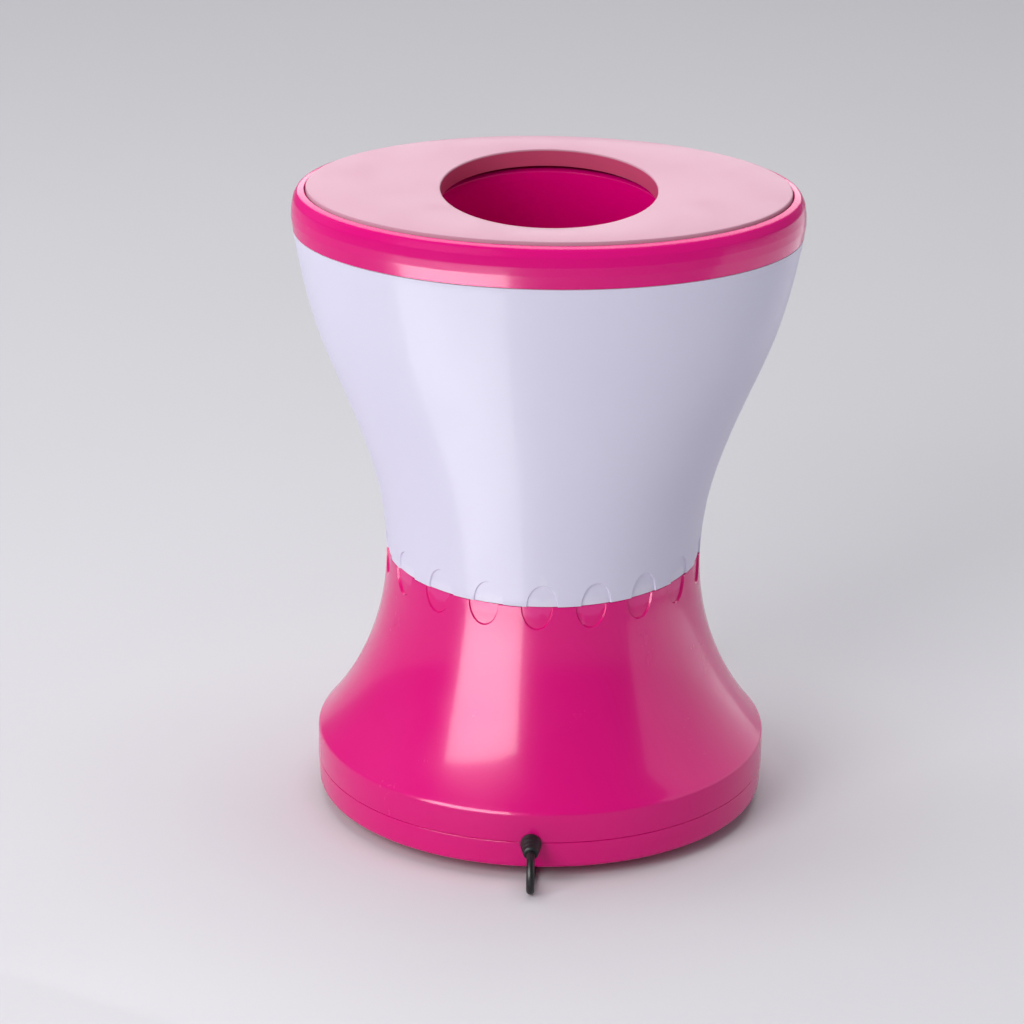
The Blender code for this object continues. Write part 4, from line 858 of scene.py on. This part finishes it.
board_laminate, coords = start_finish("board_laminate")
weave = coords.noise(1500, 2, (1, 0.2, 1))
tracks = coords.noise(120, 0, (1, 3, 1)).clear(0.48, 0.5)
lacquer = coords.mixed(weave, (0.03, 0.2, 0.08, 1), (0.045, 0.26, 0.1, 1))
end_finish(coords, {
    "Base Color": coords.mixed(tracks, (0.02, 0.12, 0.05, 1), lacquer),
    "Roughness": 0.3 + weave * 0.15,
    "Normal": coords.bump(tracks + weave * 0.2, 0.04 * MM, 0.6),
})
board = block("rectifier_laminate", (26, 44, 1.6), (-82, 0, 14.6), 0.15, 1)
for x in (-93, -71):
    for y in (-20, 20):
        worked(board, place(turned("board_leg", [(1.8, 9.8, 0.2), (1.3, 14.4, 0)], 20), (x, y, 0)), "UNION")
fitted(smooth(board), "base", board_laminate, "rectifier_board")
capacitor = turned("board_capacitor", [
    (5.2, 15.5, 0.5), (5.5, 17, 0.4), (5.1, 17.6, 0.2), (5.5, 18.2, 0.4), (5.5, 28.6, 0.6),
    (4.4, 28.8, 0.2), (4.2, 28.5, 0),
], 40)
fitted(smooth(place(capacitor, (-77, 8, 0))), "base", black_nylon, "rectifier_board")
rectifier = block("board_rectifier", (7, 16, 9), (-88, -9, 20), 0.5, 2)
worked(rectifier, block("rectifier_nick", (3, 3, 3), (-84.4, -1, 24.4)))
fitted(smooth(rectifier), "base", black_nylon, "rectifier_board")

# ------------------------------------------------------------------------------
# Switch: a black snap-in rocker switch at the back of the band. The housing clips into a window in the
# skirt, and the red rocker tips about a pin across it.
SWITCH_Z = 31.15
SWITCH_FACE = 121.7
housing = block("switch_case", (17, 1.8, 11.5), (0, SWITCH_FACE + 0.9, SWITCH_Z), 0.6, 3)
worked(housing, block("switch_body", (14, 15, 9.1), (0, SWITCH_FACE - 7, SWITCH_Z), 0.3, 1), "UNION")
tabs = [block("terminal_tab", (0.8, 7, 4.8), (x, SWITCH_FACE - 17, SWITCH_Z), 0.1, 1) for x in (-4, 4)]
worked(housing, merged(*tabs), "UNION")
worked(housing, block("switch_well", (12.6, 14, 7.7), (0, SWITCH_FACE + 1.5, SWITCH_Z), 0.3, 1))
fitted(smooth(housing), "base", black_nylon, "switch_housing")

red_nylon = moulded(
    "red_nylon", (0.45, 0.012, 0.016), (0.4, 0.008, 0.012), (0.7, 0.1, 0.1), rough=0.28, shine=0.4,
    texture=0.15,
)
rocker = block("rocker_paddle", (10.8, 5.4, 7.1), (0, 1.3, 0), 0, 2)
for side in (-1, 1):
    moved(rocker, lambda spot: spot.y < 0 and spot.x * side > 0, (-side * 2.4, 0, 0))
hollow = turned("rocker_hollow", [(24.9, -8, 0), (24.9, 8, 0)], 160)
worked(rocker, place(hollow, (0, 27.85, 0)))
eased(rocker, 0.45, 3)
for step in range(3):
    mark = block("rocker_mark", (0.5, 1.0, 2.6), (3.1 + 0.9 * step, 3.4, 0), 0.15, 1)
    worked(rocker, mark, "UNION")
place(rocker, turn=(0, 0, radians(-8)))
fitted(smooth(place(rocker, (0, SWITCH_FACE - 1.2, SWITCH_Z))), "rocker", red_nylon, "rocker")

# ------------------------------------------------------------------------------
# Deck plate: a plated steel disc screwed to the skirt's collar. Its three tabs hook over the cup's lugs
# when the cup is twisted, and a flanged bush of sintered bronze in its middle guides the shaft.
DECK_Z = 152
DECK_TOP_Z = 154
DECK_SEAT_Z = 154.3
DECK_TABS = spots(1, 3, pi / 2)
deck = turned("deck_disc", [
    (2, DECK_Z, 0), (81.8, DECK_Z, 0.3), (81.8, DECK_TOP_Z, 0.3), (2, DECK_TOP_Z, 0),
], 120)
ring = turned("deck_ring", [(78.7, 149, 0), (90, 149, 0), (90, 157, 0), (78.7, 157, 0)], 120, hollow=True)
keepers = blocks_round("tab_keeper", (20, 33.3, 12), (84, 0, 153), DECK_TABS)
worked(ring, merged(*keepers))
worked(deck, ring)
openings = [turned("bush_hole", [(6.3, 150, 0), (6.3, 156, 0)], 32)]
openings += screw_holes("deck_hole", 150, 156, DECK_FIXINGS)
openings += blocks_round("deck_vent", (22, 5, 8), (22, 0, 153), spots(1, 6, pi / 6), 2.2, 3)
worked(deck, merged(*openings))
fitted(smooth(deck), "base", plated_steel, "deck_plate")

bronze = metal("bronze", (0.4, 0.22, 0.09), (0.55, 0.34, 0.16), 0.42, lathe_lines, 0.3)
bush = turned("deck_bush", [
    (6, 146, 0.5), (6, DECK_SEAT_Z, 0), (8, DECK_SEAT_Z, 0.3), (8, 156, 0.4), (SHAFT_HOLE, 156, 0.4),
    (SHAFT_HOLE, 146, 0.4),
], 48, hollow=True)
fitted(smooth(bush), "base", bronze, "shaft_bush")
for i, (x, y, angle) in enumerate(DECK_FIXINGS, 1):
    fixing = place(screw(f"plate_fixing_{i}", 9), (x, y, DECK_SEAT_Z), (0, 0, angle))
    fitted(fixing, "base", screw_steel, f"deck_screw_{i}")

# ------------------------------------------------------------------------------
# Heater: a coiled resistance wire in a steatite ring under the spinner. A spun steel tray on three hexagon
# standoffs carries it, and a thermal cut-out on the deck opens if it overheats.
for i, (x, y, _) in enumerate(spots(40, 3), 1):
    standoff = turned(f"heater_post_{i}", [
        (2.6, DECK_SEAT_Z, 0), (3.5, 154.8, 0), (3.5, 189.8, 0), (2.6, 190.3, 0),
    ], 6)
    fitted(smooth(place(standoff, (x, y, 0)), 20), "base", plated_steel, f"heater_standoff_{i}")

tray_steel = metal("tray_steel", (0.4, 0.38, 0.37), (0.56, 0.53, 0.5), 0.32, lathe_lines, 0.4)
tray = turned("heater_pan", [
    (5.5, 190.6, 0.2), (45.6, 190.6, 3), (49.6, 198.2, 0.5), (50, 198.6, 0.2), (48.8, 198.6, 0.2),
    (44.8, 191.8, 2.4), (5.5, 191.8, 0.2),
], 96, hollow=True, steps=5)
fitted(smooth(tray), "base", tray_steel, "heater_tray")

steatite, coords = start_finish("steatite")
stain = coords.noise(120, 4)
end_finish(coords, {
    "Base Color": coords.mixed(stain.clear(0.45, 0.8), (0.78, 0.74, 0.66, 1), (0.5, 0.42, 0.32, 1)),
    "Roughness": 0.55 + stain * 0.15,
    "Normal": coords.bump(coords.noise(2200, 3), 0.06 * MM, 0.6),
})
carrier = turned("element_carrier", [
    (25, 192.1, 0.4), (41, 192.1, 0.4), (41, 201.1, 0.7), (36.2, 201.1, 0.4), (36.2, 198.1, 0.6),
    (29.8, 198.1, 0.6), (29.8, 201.1, 0.4), (25, 201.1, 0.7),
], 96, hollow=True)
notches = blocks_round("carrier_notch", (20, 2.4, 3), (33, 0, 201.2), spots(1, 12, 0.1), 0.3, 1)
worked(carrier, merged(*notches))
fitted(smooth(carrier), "base", steatite, "heater_carrier")

heater_sheath = metal("heater_sheath", (0.16, 0.12, 0.1), (0.32, 0.25, 0.2), 0.4, drawn_lines, 0.3)
WIRE_TURNS = 84
WIRE_STEPS = 8
WIRE_RING = 33
WIRE_COIL = 2.05
WIRE_Z = 201
wire = []
for step in range(WIRE_TURNS * WIRE_STEPS):
    round_ring = (0.012 + 0.976 * step / (WIRE_TURNS * WIRE_STEPS)) * tau
    round_wire = tau * step / WIRE_STEPS
    reach = WIRE_RING + WIRE_COIL * cos(round_wire)
    height = WIRE_Z + WIRE_COIL * sin(round_wire)
    wire.append(Vector((reach * cos(round_ring), reach * sin(round_ring), height)) * MM)
element = tube("element_coil", wire, 0.5 * MM, rounds=1)
element.data.resolution_u = 2
fitted(element, "base", heater_sheath, "heating_element")

cutout = turned("cutout_can", [
    (8.5, DECK_SEAT_Z, 0.3), (8.5, 158.8, 0.5), (7.2, 159.2, 0.3), (6, 159.6, 0.3), (6, 166.3, 0.8),
], 56)
lugs = [block("cutout_lug", (0.8, 5, 7), (x, 0, 167.4), 0.15, 1) for x in (-3, 3)]
worked(cutout, merged(*lugs), "UNION")
fitted(smooth(place(cutout, (-54, 0, 0))), "base", zinc_can, "thermal_cutout")

# ------------------------------------------------------------------------------
# Spinner: the sugar head of spun aluminium and slotted stainless steel, pinned on the drive shaft by a nut.
# Sugar melts on its floor and is thrown out through the slots. The fan on the same shaft cools the motor.
HEAD_Z = 209.6
spun_aluminium = metal("spun_aluminium", (0.66, 0.67, 0.69), (0.8, 0.8, 0.81), 0.24, lathe_lines, 0.3)
dish = turned("head_dish", [
    (SHAFT_HOLE, 203.6, 0.3), (5, 203.6, 0.5), (6, HEAD_Z, 1.2), (37, HEAD_Z, 0.8), (38, 210.8, 0.6),
    (38, 214.3, 0.3), (34.5, 214.3, 0.3), (32.5, 212.1, 1.5), (7, 212.1, 1), (6, 219.6, 0.5),
    (SHAFT_HOLE, 219.6, 0.4),
], 96, hollow=True, steps=4)
fitted(smooth(dish), "spinner", spun_aluminium, "spinner_dish")

stainless_band = metal("stainless_band", (0.5, 0.5, 0.5), (0.66, 0.65, 0.64), 0.22, drawn_lines, 0.3)
band = turned("head_band", [
    (38, 214.6, 0), (38, 227.6, 0), (36.5, 227.6, 0), (36.5, 214.6, 0),
], 144, hollow=True)
slots = blocks_round("band_slot", (6, 0.8, 10), (37.2, 0, 221.1), spots(1, 72, tau / 144))
worked(band, merged(*slots))
fitted(smooth(band, 30), "spinner", stainless_band, "spinner_band")

cover = turned("head_cover", [
    (38, 227.9, 0.3), (38, 230, 1), (35, 231.9, 1.2), (22, 231.9, 1.5), (16, 227.9, 0.8),
    (16, 226.3, 0.3), (17.6, 226.3, 0.3), (22.5, 229.9, 1), (34, 229.9, 0.8), (33, 227.9, 0.4),
], 96, hollow=True, steps=4)
fitted(smooth(cover), "spinner", spun_aluminium, "spinner_cover")

nut = turned("head_nut", [
    (SHAFT_HOLE, 219.9, 0), (6.4, 219.9, 0), (6.4, 226.1, 0), (5.6, 226.9, 0), (SHAFT_HOLE, 226.9, 0),
], 6, hollow=True)
fitted(smooth(eased(nut, 0.3, 2, 50), 24), "spinner", screw_steel, "spinner_nut")

shaft = turned("head_shaft", [
    (2.1, 20.5, 0), (2.5, 21, 0), (2.5, 66, 0), (2.2, 66.3, 0), (2.2, 67.3, 0), (2.5, 67.6, 0),
    (2.5, 228.3, 0), (1.9, 228.9, 0),
], 40)
fitted(smooth(shaft), "spinner", plated_steel, "drive_shaft")

fan = turned("fan_hub", [
    (SHAFT_HOLE, 23.5, 0.3), (7, 23.5, 0.6), (7, 32.5, 0.6), (SHAFT_HOLE, 32.5, 0.3),
], 40, hollow=True)
for _, _, angle in spots(1, 7):
    blade = block("fan_blade", (25.8, 1.4, 9), (0, 0, 0), 0.35, 2)
    place(blade, turn=(radians(38), 0, 0))
    place(blade, (18.9, 0, 28))
    worked(fan, place(blade, turn=(0, 0, angle)), "UNION")
fitted(smooth(fan), "spinner", black_nylon, "cooling_fan")

# ------------------------------------------------------------------------------
# Upper cup: the tall white ABS shell. It is round where it stands on the skirt and widens to an oval under
# the rim. Three lugs inside its foot lock under the deck's tabs, and its scoops match those of the skirt.
CUP_Z = 144.8
CUP_TOP_Z = 328.3
TOP_WIDE = 138.5
TOP_DEEP = 86.5
CUP_WALL = 2.5
CUP_STEPS = 44
FLARE_AT = (0, 0.1, 0.2, 0.31, 0.42, 0.53, 0.64, 0.75, 0.86, 1)
FLARE = (0, 0.03, 0.09, 0.20, 0.34, 0.50, 0.665, 0.80, 0.90, 1)
FLARE_SLOPES = [0.22]
for i in range(1, 9):
    FLARE_SLOPES.append((FLARE[i + 1] - FLARE[i - 1]) / (FLARE_AT[i + 1] - FLARE_AT[i - 1]))
FLARE_SLOPES.append(0.68)


def cup_size(share, inset=0.0):
    """Half width, half depth and height of the cup at a share of its height, inset from its surface."""
    i = min(sum(share > at for at in FLARE_AT[1:]), 8)
    span = FLARE_AT[i + 1] - FLARE_AT[i]
    t = (share - FLARE_AT[i]) / span
    flare = (1 + 2 * t) * (1 - t) ** 2 * FLARE[i] + t * (1 - t) ** 2 * span * FLARE_SLOPES[i]
    flare += t * t * (3 - 2 * t) * FLARE[i + 1] + t * t * (t - 1) * span * FLARE_SLOPES[i + 1]
    wide = WAIST_RADIUS + (TOP_WIDE - 1 - WAIST_RADIUS) * flare
    deep = WAIST_RADIUS + (TOP_DEEP - 1 - WAIST_RADIUS) * share
    return wide - inset, deep - inset, CUP_Z + (CUP_TOP_Z - CUP_Z) * share


LOCKED_TURN = radians(1.9)
white_abs = moulded(
    "white_abs", (0.72, 0.70, 0.85), (0.69, 0.67, 0.83), (0.85, 0.84, 0.92), rough=0.34, shine=0.08,
    texture=0.05,
)
shares = [i / CUP_STEPS for i in range(CUP_STEPS + 1)]
outside = [(*cup_size(share), 0.35 if share in (0, 1) else 0) for share in shares]
inside = [(*cup_size(share, CUP_WALL), 0.3 if share in (0, 1) else 0) for share in reversed(shares)]
cup = drawn("cup_shell", outside + inside, SIDES, hollow=True)
lugs = blocks_round("cup_lug", (4.2, 18, 3.5), (81.9, 0, 149.95), DECK_TABS, 0.3, 1)
worked(cup, merged(*lugs), "UNION")
upper_sheet = drawn("upper_sheet", [
    *[(*cup_size(0.1 * i / 5, SCOOP_DEPTH), 0) for i in range(6)], (97, 97, 163.1, 0),
    (97, 97, CUP_Z - 1.2, 0), (84.2, 84.2, CUP_Z - 1.2, 0),
], SIDES, hollow=True)
worked(cup, scoops(upper_sheet, SCOOP_START + LOCKED_TURN))
fitted(smooth(cup, 28), "cup", white_abs, "upper_cup")

# ------------------------------------------------------------------------------
# Top rim: an oval band in the same hot-pink ABS, glued to the top of the cup. It rolls over to a lip and
# steps down inside to one ledge for the lid and a lower one for the bowl's flange.
RIM_Z = 328.6
RIM_TOP_Z = 353.1


def inset_ring(inset, height, rounding=0.0):
    """A corner on the oval of the top, an inset in from its widest outline."""
    return TOP_WIDE - inset, TOP_DEEP - inset, height, rounding


rim = drawn("rim_band", [
    inset_ring(1.0, RIM_Z, 0.4), inset_ring(0, 336, 5), inset_ring(0.1, 341, 3),
    inset_ring(0.9, 346.4, 4), inset_ring(3.0, 350.5, 4), inset_ring(6.5, 351.3, 0.6),
    inset_ring(7.1, 350.9, 0.3), inset_ring(7.1, 343.1, 0.3), inset_ring(12, 343.1, 0.3),
    inset_ring(12, 337.1, 0.3), inset_ring(17, 337.1, 0.3), inset_ring(17, 334.6, 0.3),
    inset_ring(4, 334.6, 1.2), inset_ring(4, RIM_Z, 0.3),
], SIDES, hollow=True, steps=6)
fitted(smooth(rim, 32), "cup", hot_pink, "top_rim")

# ------------------------------------------------------------------------------
# Floss bowl: a deep round tub that lifts out for washing. Its oval flange hangs on the rim's lower ledge,
# and the sugar head stands in the round opening in its floor.
bowl = drawn("bowl_tub", [
    inset_ring(12.5, 337.4, 0.2), inset_ring(12.5, 339.4, 0.3), (66, 66, 339.4, 0.5),
    (65.4, 65.4, 339.9, 0.3), (64.2, 64.2, 340.1, 0.8), (61.9, 61.9, 339.2, 1.8), (61.4, 61.4, 334, 2),
    (59, 59, 217.1, 5), (54, 54, 213.6, 4), (47.5, 47.5, 213.6, 0.6), (47.5, 47.5, 217.1, 0.5),
    (45, 45, 217.1, 0.5), (45, 45, 211.1, 0.4), (56, 56, 211.1, 3), (61.5, 61.5, 217.1, 4),
    (64.5, 64.5, 337.4, 1),
], SIDES, hollow=True, steps=5)
fitted(smooth(bowl, 32), "bowl", hot_pink, "floss_bowl")

# ------------------------------------------------------------------------------
# Lid: a flat oval plate of pale pink ABS with a satin, spark-eroded top. It drops into the rim. A collar
# round its large hole and a wall round its edge stiffen it from below.
HOLE_RADIUS = 58.4
# Painted shade: the wall of the lid's hole gets a darker rose for the shadow that falls inside it. Given
# are the colour, the radius and the height that it reaches.
HOLE_WALL_SHADE = ((0.55, 0.075, 0.17), (HOLE_RADIUS + 1.3) * MM, (RIM_TOP_Z - 0.6) * MM)
pale_pink = moulded(
    "pale_pink_abs", (0.59, 0.315, 0.405), (0.57, 0.3, 0.39), (0.8, 0.6, 0.68),
    rough=0.4, shine=0.1, texture=0.35, hole_wall_shade=HOLE_WALL_SHADE,
)
lid = drawn("lid_plate", [
    inset_ring(7.6, 343.4, 0.3), inset_ring(7.6, RIM_TOP_Z, 1.3),
    (HOLE_RADIUS, HOLE_RADIUS, RIM_TOP_Z, 1.3), (HOLE_RADIUS, HOLE_RADIUS, 343.4, 0.4),
    (61.5, 61.5, 343.4, 0.4), (61.5, 61.5, 350.6, 0.8), inset_ring(10.1, 350.6, 0.8),
    inset_ring(10.1, 343.4, 0.3),
], SIDES, hollow=True, steps=5)
fitted(smooth(lid, 32), "lid", pale_pink, "lid")

# ------------------------------------------------------------------------------
# Size of what is shown: the bounds of every rendered object except the floor.
low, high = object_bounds()
